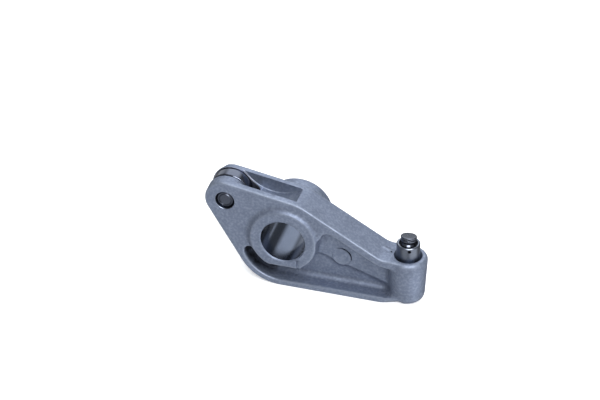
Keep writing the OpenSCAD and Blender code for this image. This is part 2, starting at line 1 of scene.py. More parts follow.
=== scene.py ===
# %% [markdown]
# # A rocker arm on the photographer's table
#
# The part is a cast rocker arm from an engine. A shaft passes through the big bore, a cam pushes on the
# roller at the left end, and the swivel foot at the right end pushes a valve open.
#
# This lesson dresses a imported CAD model of it. The CAD model gives the sizes and what moves. Blender adds
# what a mould, a blasting cabinet, a lathe and a grinder leave behind: soft cast corners, a fine grain,
# crisp machined edges and polished steel.
#
# We begin by loading the model. Nothing here may change its size.

import math

import bmesh
import bpy
import numpy as np
import openvdb
from mathutils import Matrix, Vector


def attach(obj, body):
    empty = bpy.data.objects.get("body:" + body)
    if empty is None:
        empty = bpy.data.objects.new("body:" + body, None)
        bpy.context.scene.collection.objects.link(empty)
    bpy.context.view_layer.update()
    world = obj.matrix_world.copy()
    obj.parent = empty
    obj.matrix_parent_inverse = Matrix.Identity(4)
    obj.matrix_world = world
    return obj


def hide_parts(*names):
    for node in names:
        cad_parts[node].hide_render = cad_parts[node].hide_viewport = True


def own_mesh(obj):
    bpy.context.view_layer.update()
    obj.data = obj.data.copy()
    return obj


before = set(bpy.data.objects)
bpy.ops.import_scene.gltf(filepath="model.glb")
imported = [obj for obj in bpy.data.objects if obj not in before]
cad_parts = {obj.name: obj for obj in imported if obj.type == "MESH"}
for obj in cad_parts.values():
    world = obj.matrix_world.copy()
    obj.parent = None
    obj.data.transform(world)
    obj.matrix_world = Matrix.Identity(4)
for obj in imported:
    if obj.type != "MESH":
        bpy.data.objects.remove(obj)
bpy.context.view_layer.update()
MM = 0.001

# %% [markdown]
# ## Where the camera stands
#
# The photograph was taken from a long way off with a long lens, so edges that run away from us stay
# parallel. We set the camera by three facts: the direction it looks from, how many pixels a millimetre
# covers, and the pixel on which the bore's centre falls.

# %% Camera
AZIMUTH = math.radians(16.5)
ELEVATION = math.radians(35.8)
PIXELS_PER_MM = 2.3
FRAME_PIXELS = (600, 400)
BORE_PIXEL = (288.5, 229.65)
CAMERA_DISTANCE = 1.8
SENSOR_MM = 36

to_camera = Vector((math.sin(AZIMUTH) * math.cos(ELEVATION), -math.cos(AZIMUTH) * math.cos(ELEVATION),
                    math.sin(ELEVATION)))
to_right = Vector((math.cos(AZIMUTH), math.sin(AZIMUTH), 0))
to_top = to_camera.cross(to_right)
aim = (to_right * (FRAME_PIXELS[0] / 2 - BORE_PIXEL[0])
       + to_top * (BORE_PIXEL[1] - FRAME_PIXELS[1] / 2)) * (MM / PIXELS_PER_MM)
field_width = FRAME_PIXELS[0] / PIXELS_PER_MM * MM

camera = bpy.data.objects.new("camera", bpy.data.cameras.new("camera"))
camera.data.sensor_width = SENSOR_MM
camera.data.lens = SENSOR_MM * CAMERA_DISTANCE / field_width
camera.data.clip_start, camera.data.clip_end = 0.05, 20
camera.location = aim + to_camera * CAMERA_DISTANCE
camera.rotation_euler = Matrix((to_right, to_top, to_camera)).transposed().to_euler()
bpy.context.scene.collection.objects.link(camera)
bpy.context.scene.camera = camera
print("camera lens", round(camera.data.lens, 1), "mm")

# %% [markdown]
# ## A few helpers for metal parts
#
# Most of the small parts are turned on a lathe, so one helper makes them all: it takes half of the part's
# outline and spins it round an axis. A second helper rounds the outline's corners first, because a real
# edge is never perfectly sharp, and it is that tiny round that catches the light.

# %% Rounded corners and arcs


def eased(points, size, steps=4):
    """Rounds the inner corners of an outline: size is how far each round reaches along its two sides."""
    out = [points[0]]
    for before, corner, after in zip(points, points[1:], points[2:]):
        a, c, b = (Vector(p) for p in (before, corner, after))
        reach = min(size, (a - c).length / 2.01, (b - c).length / 2.01)
        start, end = c + (a - c).normalized() * reach, c + (b - c).normalized() * reach
        for i in range(steps + 1):
            t = i / steps
            out.append(tuple(start * (1 - t) ** 2 + c * (2 * t * (1 - t)) + end * t ** 2))
    return out + [points[-1]]


def arc(centre, radius, start, end, steps=10):
    """Points on an arc, in degrees."""
    angles = [math.radians(start + (end - start) * i / steps) for i in range(steps + 1)]
    return [(centre[0] + radius * math.cos(a), centre[1] + radius * math.sin(a)) for a in angles]


print("an eased corner has", len(eased([(0, 0), (1, 0), (1, 1)], 0.1)) - 2, "points")

# %% The lathe
LATHE_STEPS = 128
UP, ALONG_Y = Vector((0, 0, 1)), Vector((0, 1, 0))


def mesh_of(name, bm):
    """Turns a finished bmesh into a mesh whose faces point outwards."""
    bmesh.ops.recalc_face_normals(bm, faces=bm.faces)
    mesh = bpy.data.meshes.new(name)
    bm.to_mesh(mesh)
    bm.free()
    return mesh


def turned_mesh(name, outline, foot=(0, 0, 0), axis=UP, steps=LATHE_STEPS):
    """Spins an outline of (radius, height) points, in millimetres, round an axis that starts at foot."""
    closed = outline[0][0] > 0 or outline[-1][0] > 0
    turn = axis.to_track_quat("Z", "Y").to_matrix() if axis != UP else Matrix.Identity(3)
    bm = bmesh.new()
    rings = []
    for radius, height in outline:
        spots = 1 if radius == 0 else steps
        rings.append([bm.verts.new((turn @ Vector((radius * math.cos(a), radius * math.sin(a), height))
                                    + Vector(foot)) * MM)
                      for a in (math.tau * i / steps for i in range(spots))])
    for low, high in list(zip(rings, rings[1:])) + ([(rings[-1], rings[0])] if closed else []):
        for i in range(steps):
            k = (i + 1) % steps
            corners = [low[i % len(low)], low[k % len(low)], high[k % len(high)], high[i % len(high)]]
            corners = list(dict.fromkeys(corners))
            if len(corners) > 2:
                bm.faces.new(corners)
    return mesh_of(name, bm)


def show(name, mesh):
    piece = bpy.data.objects.new(name, mesh)
    bpy.context.scene.collection.objects.link(piece)
    return piece


def turned(name, *how):
    """A turned piece, put into the scene."""
    return show(name, turned_mesh(name, *how))


print("the lathe turns in", LATHE_STEPS, "steps")

# %% [markdown]
# Holes are drilled as on the real part: a drill is a small solid, taken away with a Boolean modifier, which
# is applied at once. What is left is a plain mesh, and that is what the export wants.

# %% Cutting helpers


def baked(piece):
    """Applies a piece's modifiers to its mesh and removes them."""
    graph = bpy.context.evaluated_depsgraph_get()
    mesh = bpy.data.meshes.new_from_object(piece.evaluated_get(graph), depsgraph=graph)
    piece.modifiers.clear()
    piece.data = mesh


def cut(piece, cutters, solver="EXACT"):
    """Takes the cutters away from a piece, one after the other, and throws the cutters away."""
    for mesh in cutters:
        tool = show("cutter", mesh)
        step = piece.modifiers.new("cut", "BOOLEAN")
        step.object, step.operation, step.solver = tool, "DIFFERENCE", solver
        baked(piece)
        bpy.data.objects.remove(tool)


def drill(radius, start, end, steps=48):
    """A straight drill between two points, in millimetres."""
    start, end = Vector(start), Vector(end)
    length = (end - start).length
    return turned_mesh("drill", [(0, 0), (radius, 0), (radius, length), (0, length)], start,
                       (end - start).normalized(), steps)


print("cutters ready")

# %% [markdown]
# ## The named sizes
#
# These are the CAD model's own sizes, in millimetres, repeated here by name. Every piece below is built
# from them, so it lands exactly where the CAD piece sits.

# %% Sizes in millimetres
BORE_R, BORE_CHAMFER = 10, 0.5
BOSS_R, BOSS_FRONT, BOSS_BACK = 15, -9.5, 19.25
HALF_W = 7.75
WEB_FRONT, BAND_FACE = -0.25, -1.85
CHEEKS = (-4.95, 4.65)
pin_x, pin_z = -26.5, 15.5
PIN_R, PIN_END, PIN_FIT = 4.3, 6.85, 0.01
THRUST_R, CHAMBER_R, CHAMBER_CORNER, RUNWAY_R = 9.4, 13.5, 3.5, 9.3
TROUGH_AT, TROUGH_R, TROUGH_BACK = (-6, 33.3), 17.9, 4.95
PAD_AT, PAD_R, PAD_FACE = (24.7, -8.005), 4.3, -1.55
NOTCH = ((6.3, -10.5, -16), (7.8, -8.4, -8.5))
ROLLER_R, RACE_R, ROLLER_Y = 8.8, 6.33, (-0.7, 4.9)
NEEDLE_R, NEEDLE_PITCH_R, NEEDLE_LENGTH, NEEDLES = 1, 5.315, 5.4, 16
THRUST_FACE, RUNWAY_FACE = -0.8, 5.0
HEAD_X, HEAD_TOP = 54, -2.3
POCKET_R, POCKET_FLOOR, POCKET_CHAMFER = 5.17, -19.4, 1.1
GALLERY_R, GALLERY_Y, GALLERY_UP, GALLERY_SLOPE = 1.5, 1.2, 0.5, math.radians(19)
SLEEVE_R, SLEEVE_BASE, RIM_Z, CHAMBER_FLOOR = 5.15, -18.6, 4.4, -16.6
MOUTH_R, GUIDE_R = 4.15, 3.92
BALL_R, BALL_Z = 1.75, 5.25
FOOT_LEAN = math.radians(13)
SHOULDER_Z, PLUNGER_BASE, VALVE_BASE = 1.05, -5.15, -10.15
SEAT_Z, CHECK_Z, CAGE_FLOOR = -9.35, -10.2375, -12.1075
print("the bore is", BORE_R * 2, "mm across, and the roller", ROLLER_R * 2)

# %% [markdown]
# ## The casting, as the foundry pours it
#
# The arm is die cast. Its inner corners have fillets, its edges are slightly round, and its holes aren't
# there yet: they are bored afterwards. A bevel modifier struggles with a shape like this, because dozens
# of curved faces meet at odd angles.
#
# A distance grid makes it easy. Each cell of a fine grid stores how far it is from the metal. Filling a
# hole is taking the smaller of two distances. A fillet in an inner corner is: grow the metal, then shrink
# it back by as much, which closes the corners but leaves the outer edges alone. Blurring the grid a little
# rounds what is left.

# %% Measure the CAD casting on a distance grid
VOXEL = 0.42
BAND = 12
MARGIN = 12
grid_steps = openvdb.createLinearTransform(voxelSize=VOXEL)


def rows_of(items, key, kind=np.float32):
    """One property of every vertex or face, as rows of three numbers."""
    values = np.empty(len(items) * 3, kind)
    items.foreach_get(key, values)
    return values.reshape(-1, 3)


cad_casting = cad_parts["rocker_body"].data
corners = rows_of(cad_casting.vertices, "co") / MM
triangles = rows_of(cad_casting.polygons, "vertices", np.int32).astype(np.uint32)

first_cell = [int(v) - MARGIN for v in np.floor(corners.min(0) / VOXEL)]
cells = [int(v) + 2 * MARGIN for v in np.ceil((corners.max(0) - corners.min(0)) / VOXEL)]
x, y, z = np.meshgrid(*(((start + np.arange(count)) * VOXEL).astype(np.float32)
                        for start, count in zip(first_cell, cells)), indexing="ij", sparse=True)
print("a grid of", cells, "cells")

# %% Distances from a skin, and back


def distances(points, **faces):
    """How far each cell is from a closed skin: negative inside it."""
    grid = openvdb.FloatGrid.createLevelSetFromPolygons(points, transform=grid_steps, halfWidth=BAND, **faces)
    field = np.empty(cells, np.float32)
    grid.copyToArray(field, ijk=first_cell)
    return field


def skin(field, level=0.0):
    """The surface on which a field has one value, as points and quads."""
    grid = openvdb.FloatGrid(BAND * VOXEL)
    grid.transform = grid_steps
    grid.copyFromArray(field, ijk=first_cell)
    return grid.convertToQuads(isovalue=level)


metal = distances(corners, triangles=triangles)
print(round(float((metal < 0).sum()) * VOXEL ** 3 / 1000, 2), "cm3 of metal")

# %% [markdown]
# ### Fill the holes that are bored later
#
# The foundry's casting has no bore, no pin holes and no pocket for the adjuster. A rod's distance is
# simple: the greater of the distance to its side and the distance to its ends.

# %% Distances to simple shapes


def from_line(start, end):
    """Where each cell lies along a line, how far off it, and how long the line is."""
    start, end = np.array(start, np.float32), np.array(end, np.float32)
    length = np.linalg.norm(end - start)
    way = (end - start) / length
    dx, dy, dz = x - start[0], y - start[1], z - start[2]
    along = dx * way[0] + dy * way[1] + dz * way[2]
    return along, np.maximum(dx * dx + dy * dy + dz * dz - along * along, 0), length


def rod(start, end, radius):
    """Distance to a round rod with flat ends."""
    along, off_squared, length = from_line(start, end)
    return np.maximum(np.sqrt(off_squared) - radius, np.abs(along - length / 2) - length / 2)


def capsule(start, end, radius):
    """Distance to a rod with round ends."""
    along, off_squared, length = from_line(start, end)
    return np.sqrt(off_squared + (along - np.clip(along, 0, length)) ** 2) - radius


def block(low, high):
    """Distance to a box."""
    sides = [np.maximum(low[i] - axis, axis - high[i]) for i, axis in enumerate((x, y, z))]
    return np.maximum(np.maximum(sides[0], sides[1]), sides[2])


print("rods, capsules and blocks ready")

# %% Fill the bored holes
STOCK = 0.7
NOTCH_PLUG = (-13.3, 2)
plugs = [
    rod((0, BOSS_FRONT, 0), (0, BOSS_BACK, 0), BORE_R + STOCK),
    rod((pin_x, -HALF_W, pin_z), (pin_x, THRUST_FACE, pin_z), PIN_R + STOCK),
    rod((pin_x, RUNWAY_FACE, pin_z), (pin_x, HALF_W, pin_z), PIN_R + STOCK),
    rod((HEAD_X, 0, POCKET_FLOOR), (HEAD_X, 0, HEAD_TOP), POCKET_R + POCKET_CHAMFER),
    rod((PAD_AT[0], BAND_FACE, PAD_AT[1]), (PAD_AT[0], WEB_FRONT, PAD_AT[1]), PAD_R),
    block((NOTCH[0][0], BOSS_FRONT, NOTCH_PLUG[0]), (NOTCH[1][0], BOSS_FRONT + NOTCH_PLUG[1], -BORE_R)),
]
for plug in plugs:
    metal = np.minimum(metal, plug)
print("filled", len(plugs), "holes")

# %% [markdown]
# ### Fill the roller's chamber and the cam's trough
#
# These two are milled, so they are filled as well, and cut crisply later. The filling must end flush with
# the cheeks' edges. The grid's slice through the middle of the front cheek has exactly that outline.

# %% Fill between the cheeks
chamber = np.hypot(x - pin_x, z - pin_z) - CHAMBER_R
trough = np.hypot(x - TROUGH_AT[0], z - TROUGH_AT[1]) - TROUGH_R
mid_cheek = int(round((CHEEKS[0] - HALF_W) / 2 / VOXEL)) - first_cell[1]
outline = metal[:, mid_cheek:mid_cheek + 1, :]
between = np.maximum(CHEEKS[0] - STOCK - y, y - CHEEKS[1] - STOCK / 2)
filling = np.maximum(np.maximum(outline, between), np.minimum(chamber, trough) - STOCK)
metal = np.minimum(metal, filling)
print("filled", round(float((filling < 0).sum()) * VOXEL ** 3 / 1000, 2), "cm3 between the cheeks")

# %% [markdown]
# ### A round end for the slot
#
# The slot beside the boss ends in a half circle, as a mould's core leaves it, and the CAD model ends it
# square. We put metal beyond the end, all but a circle of the slot's width, and only near the slot.

# %% Round the slot's end
SLOT_END, SLOT_WAY, SLOT_HALF = (-16.5, -7.2), (-0.4, 0.917), 1.75
SLOT_REACH = 19.4
SLOT_BOX = ((-24, -HALF_W, -12), (-10, 3, 0))
across, upward = x - SLOT_END[0], z - SLOT_END[1]
slot_end = np.maximum(-(across * SLOT_WAY[0] + upward * SLOT_WAY[1]), SLOT_HALF - np.hypot(across, upward))
slot_end = np.maximum(slot_end, np.maximum(np.hypot(x, z) - SLOT_REACH, block(*SLOT_BOX)))
metal = np.minimum(metal, slot_end)
print("the slot is", SLOT_HALF * 2, "mm wide")

# %% [markdown]
# ### Fillets, a cast blister, and soft edges
#
# A casting's inner corners always have fillets, because molten metal tears at a sharp one. A short blister
# on top, next to the pocket, is a mark of the mould: the oil vent comes out at its end.

# %% Fillets and soft edges
FILLET = 2.2
SOFT_PASSES = 2
BLISTER = ((42.5, 1.0, -2.1), (45.3, 0.6, -2.85), 1.25)


def blurred(field, reaches):
    """Blurs a field: each reach is how many cells apart the three averaged values lie."""
    for reach in reaches:
        for axis in range(3):
            field = (np.roll(field, reach, axis) + 2 * field + np.roll(field, -reach, axis)) / 4
    return field


points, quads = skin(metal, FILLET)
metal = np.minimum(distances(points, quads=quads) + FILLET, metal)
metal = np.minimum(metal, capsule(*BLISTER))
metal = blurred(metal, [1] * SOFT_PASSES)

points, quads = skin(metal)
blank = bpy.data.meshes.new("arm_casting")
blank.from_pydata(points * MM, [], quads)
casting = show("arm_casting", blank)
bm = bmesh.new()
bm.from_mesh(blank)
if bm.calc_volume(signed=True) < 0:
    bmesh.ops.reverse_faces(bm, faces=bm.faces)
bm.to_mesh(blank)
bm.free()
print("the blank has", len(blank.polygons), "faces")

# %% [markdown]
# ### Machine the blank
#
# Now come the tools that leave crisp edges: the boring bar, the milling cutters, the drills. Each is a small
# solid, taken away with a Boolean. The bore and the pocket have chamfers, as any machined mouth has, because
# a sharp edge would cut the shaft, or the fitter. The boss that the roller runs against tapers at its edge.

# %% Outlines of the turned tools
BEYOND = 2
THRUST_TAPER = (1.2, 1.6)
RUNWAY_EASE = 0.3
CUTTER_ROUND = 0.5


def bored(radius, start, end, chamfer):
    """Outline of a boring tool with a chamfer at both mouths."""
    return [(0, start - BEYOND), (radius + chamfer + BEYOND, start - BEYOND), (radius, start + chamfer),
            (radius, end - chamfer), (radius + chamfer + BEYOND, end + BEYOND), (0, end + BEYOND)]


corner = CHEEKS[1] - CHAMBER_CORNER
chamber_outline = [(0, THRUST_FACE), (THRUST_R - THRUST_TAPER[0], THRUST_FACE),
                   (THRUST_R, THRUST_FACE - THRUST_TAPER[1]), (THRUST_R, CHEEKS[0]), (CHAMBER_R, CHEEKS[0])]
chamber_outline += arc((CHAMBER_R - CHAMBER_CORNER, corner), CHAMBER_CORNER, 0, 90, 12)
chamber_outline += [(RUNWAY_R - RUNWAY_EASE, CHEEKS[1]), (RUNWAY_R - RUNWAY_EASE, RUNWAY_FACE),
                    (0, RUNWAY_FACE)]
trough_outline = [(0, CHEEKS[0]), (TROUGH_R, CHEEKS[0])]
trough_outline += arc((TROUGH_R - CUTTER_ROUND, TROUGH_BACK - CUTTER_ROUND), CUTTER_ROUND, 0, 90, 5)
trough_outline += [(0, TROUGH_BACK)]
pocket_outline = [(0, POCKET_FLOOR), (POCKET_R, POCKET_FLOOR), (POCKET_R, HEAD_TOP - POCKET_CHAMFER),
                  (POCKET_R + POCKET_CHAMFER + BEYOND, HEAD_TOP + BEYOND), (0, HEAD_TOP + BEYOND)]
print("outlines of", len((chamber_outline, trough_outline, pocket_outline)), "tools")

# %% [markdown]
# Two tools aren't round. A box cuts the notch in the boss. Beside the core pad the light catches a thin
# crescent-shaped cut, thickest in the middle. It is too thin for the grid, so it gets a punch of its own.

# %% Box and crescent punch
SICKLE_ARC, SICKLE_R, SICKLE_FLOOR = (-22, 126), 4.5, -0.6
SICKLE_TIP, SICKLE_THICK, SICKLE_FULLNESS = 0.05, 1.0, 0.8


def box_mesh(low, high):
    bm = bmesh.new()
    bmesh.ops.create_cube(bm, size=1)
    size, middle = Vector(high) - Vector(low), (Vector(high) + Vector(low)) / 2
    for vert in bm.verts:
        vert.co = (Vector(a * b for a, b in zip(vert.co, size)) + middle) * MM
    return mesh_of("box", bm)


def sickle_mesh(centre, steps=48):
    """A crescent-shaped punch round a centre, from the open air down to its floor."""
    bm = bmesh.new()
    rows = []
    start, end = SICKLE_ARC
    for i in range(steps + 1):
        turn = math.radians(start + (end - start) * i / steps)
        inner = SICKLE_R - SICKLE_TIP - SICKLE_THICK * math.sin(math.pi * i / steps) ** SICKLE_FULLNESS
        profile = ((SICKLE_R, -HALF_W), (SICKLE_R, SICKLE_FLOOR), (inner, SICKLE_FLOOR), (inner, -HALF_W))
        rows.append([bm.verts.new((MM * (centre[0] + r * math.cos(turn)), MM * h,
                                   MM * (centre[1] + r * math.sin(turn)))) for r, h in profile])
    for low, high in zip(rows, rows[1:]):
        for k in range(4):
            bm.faces.new((low[k], low[k - 1], high[k - 1], high[k]))
    bm.faces.new(rows[0])
    bm.faces.new(rows[-1])
    return mesh_of("sickle", bm)


print("the crescent is", SICKLE_TIP + SICKLE_THICK, "mm thick")

# %% Bore, mill and drill
GALLERY_SPAN = (-24, 52)
PIN_CHAMFER = 0.15
PAD_EASE = 0.1
VENT_AT, VENT_R, VENT_REACH = (46.5, 0.0), 0.5, 3
gallery_way = Vector((math.cos(GALLERY_SLOPE), 0, -math.sin(GALLERY_SLOPE)))
gallery_mid = Vector((0, GALLERY_Y, GALLERY_UP))
tools = [
    turned_mesh("tool", chamber_outline, (pin_x, 0, pin_z), ALONG_Y, 160),
    turned_mesh("tool", trough_outline, (TROUGH_AT[0], 0, TROUGH_AT[1]), ALONG_Y, 240),
    drill(PAD_R + PAD_EASE, (PAD_AT[0], -HALF_W, PAD_AT[1]), (PAD_AT[0], PAD_FACE, PAD_AT[1]), 96),
    sickle_mesh(PAD_AT),
    box_mesh(*NOTCH),
    turned_mesh("tool", bored(BORE_R, BOSS_FRONT, BOSS_BACK, BORE_CHAMFER), (0, 0, 0), ALONG_Y, 160),
    turned_mesh("tool", bored(PIN_R + PIN_FIT, -HALF_W, HALF_W, PIN_CHAMFER), (pin_x, 0, pin_z), ALONG_Y, 96),
    turned_mesh("tool", pocket_outline, (HEAD_X, 0, 0)),
    drill(GALLERY_R, *(gallery_mid + gallery_way * reach for reach in GALLERY_SPAN)),
    drill(VENT_R, (*VENT_AT, HEAD_TOP - VENT_REACH), (*VENT_AT, HEAD_TOP + VENT_REACH), 24),
]
cut(casting, tools, "MANIFOLD")
print("machined: the casting has", len(casting.data.polygons), "faces")

# %% [markdown]
# ### Note where the metal is sharp, hollow or sheltered
#
# Blasting and handling polish the outer edges, and the material lightens them further as a painted
# highlight. Corners and sheltered places get a painted shade, where less light reaches them. The grid knows
# both: where its values bend outwards there is an edge, and where they bend inwards a corner. Counting how
# much metal lies around a point tells how sheltered it is. The slot and the crescent are too narrow for that
# count, so they are marked by their place, for a painted shadow. The three notes are stored on the mesh, for
# the material.

# %% Bends and metal around
LOOK_OUT = 1.4


def sampled(field, places):
    """A field's value at points in millimetres, between the cells' values."""
    spot = places / VOXEL - first_cell
    base = np.clip(np.floor(spot).astype(int), 0, np.array(cells) - 2)
    part = spot - base
    total = np.zeros(len(places), np.float32)
    for step in np.ndindex(2, 2, 2):
        weight = np.prod(np.abs(1 - np.array(step) - part), axis=1)
        total += weight * field[tuple((base + step).T)]
    return total


bend = -6 * metal
for axis in range(3):
    bend = bend + np.roll(metal, 1, axis) + np.roll(metal, -1, axis)
around = blurred((metal < 0).astype(np.float32), (1, 2, 4, 6, 8))
places = rows_of(casting.data.vertices, "co") / MM
outward = rows_of(casting.data.vertices, "normal")
bends = sampled(bend / VOXEL ** 2, places)
enclosed = sampled(around, places + outward * LOOK_OUT)
print("bends run from", round(float(bends.min()), 2), "to", round(float(bends.max()), 2), "per mm")

# %% Edge, hollow and shelter
EDGE_BENDS, HOLLOW_BENDS = (0.2, 1.0), (-0.08, -0.48)
OPEN_AIR, SHELTER_GAIN = 0.6, 0.5
SLOT_DEPTHS, SLOT_SIDE, SLOT_RING = (-7, -4.5), (-4, -7), (22.5, 21.5)
SLOT_INNER, SLOT_BACK, SLOT_SHADE = BOSS_R - 0.5, 1, 1.5
PAD_RIM = (PAD_R - 0.8, PAD_R + 0.4)


def ramp(values, start, end):
    """Rises from 0 at start to 1 at end."""
    return np.clip((values - start) / (end - start), 0, 1)


def note(name, values):
    layer = casting.data.attributes.new(name, "FLOAT", "POINT")
    layer.data.foreach_set("value", np.clip(values, 0, 1).astype(np.float32))


vx, vy, vz = places.T
from_bore, from_pad = np.hypot(vx, vz), np.hypot(vx - PAD_AT[0], vz - PAD_AT[1])
# Painted shadow: the slot and the crescent are darkened by their place, where shadow falls in them.
slot = ramp(vy, *SLOT_DEPTHS) * ramp(vx, *SLOT_SIDE) * ramp(from_bore, *SLOT_RING) * SLOT_SHADE
slot *= (from_bore > SLOT_INNER) & (vy < SLOT_BACK)
crescent = (from_pad > PAD_RIM[0]) & (from_pad < PAD_RIM[1]) & (vy > PAD_FACE + PAD_EASE) & (vy < 0)
note("edge", ramp(bends, *EDGE_BENDS))
note("hollow", ramp(bends, *HOLLOW_BENDS))
# The shelter note carries the painted shade: sheltered places, the slot and the crescent.
note("shelter", np.maximum((enclosed - OPEN_AIR) * SHELTER_GAIN, np.maximum(slot, crescent)))
print("three notes on", len(bends), "points,", int(crescent.sum()), "of them at the crescent")

# %% [markdown]
# ## Materials
#
# Three finishes repeat over the parts, so each is a node group that every material can use with its own
# values: the fine grain of a blasted casting, the rings that a lathe or grinder leaves round an axis, and
# rubbed edges, lightened partly as a painted highlight, with a painted shade in the corners. The groups only
# hand out patterns. The metal itself, the Principled shader, stays in each material.

# %% Node helpers


def add(tree, kind, inputs, **settings):
    """A new node's outputs. A value fills an input's socket, and another node's output is linked to it."""
    node = tree.nodes.new(kind)
    for key, value in settings.items():
        setattr(node, key, value)
    for key, value in inputs.items():
        if isinstance(value, bpy.types.NodeSocket):
            tree.links.new(value, node.inputs[key])
        else:
            node.inputs[key].default_value = value
    return node.outputs


def new_group(name, inputs, outputs, kind="Shader"):
    """A node group. An input is a number, or else the name of its kind of socket."""
    tree = bpy.data.node_groups.new(name, kind + "NodeTree")
    for label, given in inputs.items():
        socket = given if isinstance(given, str) else type(given).__name__.title()
        made = tree.interface.new_socket(name=label, in_out="INPUT", socket_type="NodeSocket" + socket)
        if socket != given:
            made.default_value = given
    result = "NodeSocketFloat" if kind == "Shader" else "NodeSocketGeometry"
    for label in outputs:
        tree.interface.new_socket(name=label, in_out="OUTPUT", socket_type=result)
    return tree, tree.nodes.new("NodeGroupInput").outputs, tree.nodes.new("NodeGroupOutput").inputs


print("node helpers ready")

# %% Maths, colour and noise helpers


def maths(tree, operation, a, b=0.0, clamp=False):
    return add(tree, "ShaderNodeMath", {0: a, 1: b}, operation=operation, use_clamp=clamp)[0]


def times(tree, a, b):
    return maths(tree, "MULTIPLY", a, b)


def distance(tree, a, b):
    """How far a point is from an axis that it lies a and b away from."""
    return maths(tree, "SQRT", maths(tree, "ADD", times(tree, a, a), times(tree, b, b)))


def mixed(tree, share, a, b):
    """Colour a, with a share of colour b in it."""
    return add(tree, "ShaderNodeMix", {0: share, 6: a, 7: b}, data_type="RGBA")[2]


def rescale(tree, value, low, high, to_low=0.0, to_high=1.0):
    return add(tree, "ShaderNodeMapRange", {0: value, 1: low, 2: high, 3: to_low, 4: to_high})[0]


def noise(tree, place, scale, detail, **more):
    return add(tree, "ShaderNodeTexNoise", {"Vector": place, "Scale": scale, "Detail": detail, **more})[0]


print("maths, colour and noise helpers ready")

# %% [markdown]
# ### Grain of a blasted casting
#
# Fine shot leaves thousands of overlapping dimples, a few tenths of a millimetre across. Two noises of
# different size make them, and a slower one makes the cloudy patches that oil and handling leave. The
# larger dimples are also given out as specks, because they catch more light than the metal around them.

# %% Grain group
COARSE = 0.42
CLOUD_RANGE, SPECK_RANGE, NOISE_RANGE = (0.35, 0.65), (0.4, 0.72), (0.3, 0.7)
grain, given, result = new_group(
    "Cast grain", {"Vector": "Vector", "Dimples per metre": 2400.0, "Clouds per metre": 140.0},
    ["Height", "Clouds", "Specks"])
fine = noise(grain, given["Vector"], given["Dimples per metre"], 2.0, Roughness=0.6)
coarse = noise(grain, given["Vector"], times(grain, given["Dimples per metre"], COARSE), 1.0)
clouds = noise(grain, given["Vector"], given["Clouds per metre"], 3.0)
height = maths(grain, "ADD", times(grain, fine, 0.6), times(grain, coarse, 0.4))
grain.links.new(height, result["Height"])
grain.links.new(rescale(grain, clouds, *CLOUD_RANGE), result["Clouds"])
grain.links.new(rescale(grain, coarse, *SPECK_RANGE), result["Specks"])
print("grain group has", len(grain.nodes), "nodes")

# %% [markdown]
# ### Rings round an axis
#
# A turned or ground part has fine rings round its axis. We turn each point into its radius, its height and
# its direction. A noise that changes fast along the first two, and slowly round the axis, gives rings that
# are never quite the same all the way round. Four inputs keep it free of a seam.

# %% Ring group
rings, given, result = new_group("Tool rings", {"Vector": "Vector", "Rings per metre": 9000.0},
                                 ["Height", "Streaks"])
split = add(rings, "ShaderNodeSeparateXYZ", {0: given["Vector"]})
turn = maths(rings, "ARCTAN2", split[1], split[0])
across = times(rings, distance(rings, split[0], split[1]), given["Rings per metre"])
upward = times(rings, split[2], given["Rings per metre"])
where = add(rings, "ShaderNodeCombineXYZ", {0: across, 1: upward, 2: maths(rings, "COSINE", turn)})[0]
lines = add(rings, "ShaderNodeTexNoise", {"Vector": where, "W": maths(rings, "SINE", turn), "Scale": 1.0,
                                          "Detail": 2.0}, noise_dimensions="4D")[0]
rings.links.new(lines, result["Height"])
rings.links.new(rescale(rings, lines, *NOISE_RANGE), result["Streaks"])
print("ring group has", len(rings.nodes), "nodes")

# %% [markdown]
# ### Wear, painted highlight and painted shade
#
# Edges are rubbed bright, and lightened further as a painted highlight. Corners and sheltered places get a
# painted shade, a dark colour where less light reaches. The group reads the notes that we stored on the
# casting, and breaks them up with a noise, so neither is an even outline.

# %% Wear and painted light group
PATCHES_PER_METRE, THINNEST_PATCH = 420.0, 0.55
# Painted shade: corners and sheltered places are darkened as if shade falls there.
HOLLOW_PAINTED_SHADE, SHELTER_PAINTED_SHADE = 0.32, 1.4
wear_and_light, given, result = new_group("Wear and painted light", {"Vector": "Vector"}, ["Rubbed", "Painted shade"])
patches = noise(wear_and_light, given["Vector"], PATCHES_PER_METRE, 2.0)
patches = rescale(wear_and_light, patches, *NOISE_RANGE, THINNEST_PATCH, 1.0)
edge, hollow, sheltered = (add(wear_and_light, "ShaderNodeAttribute", {}, attribute_name=name)["Fac"]
                           for name in ("edge", "hollow", "shelter"))
painted_shade = maths(wear_and_light, "ADD", times(wear_and_light, hollow, HOLLOW_PAINTED_SHADE), times(wear_and_light, sheltered, SHELTER_PAINTED_SHADE), clamp=True)
wear_and_light.links.new(times(wear_and_light, edge, patches), result["Rubbed"])
wear_and_light.links.new(times(wear_and_light, painted_shade, patches), result["Painted shade"])
print("wear group has", len(wear_and_light.nodes), "nodes")

# %% [markdown]
# ### The cast aluminium
#
# Aluminium straight from the blasting cabinet is a soft blue grey: a metal, but with so fine a texture
# that it hardly reflects anything. The specks lighten it, the clouds vary its roughness, a painted shade
# darkens its corners, and the rubbed edges are brighter, partly as a painted highlight, and smoother.

# %% Material helpers


def spaced(values):
    """Python's names can't hold spaces, so Half_width stands for the socket Half width."""
    return {label.replace("_", " "): value for label, value in values.items()}


def new_material(name, **sockets):
    material = bpy.data.materials.new(name)
    material.use_nodes = True
    shader = material.node_tree.nodes["Principled BSDF"].inputs
    for label, value in spaced(sockets).items():
        shader[label].default_value = value
    return material, material.node_tree, shader


def place_group(tree, group, **values):
    return add(tree, "ShaderNodeGroup", spaced(values), node_tree=group)


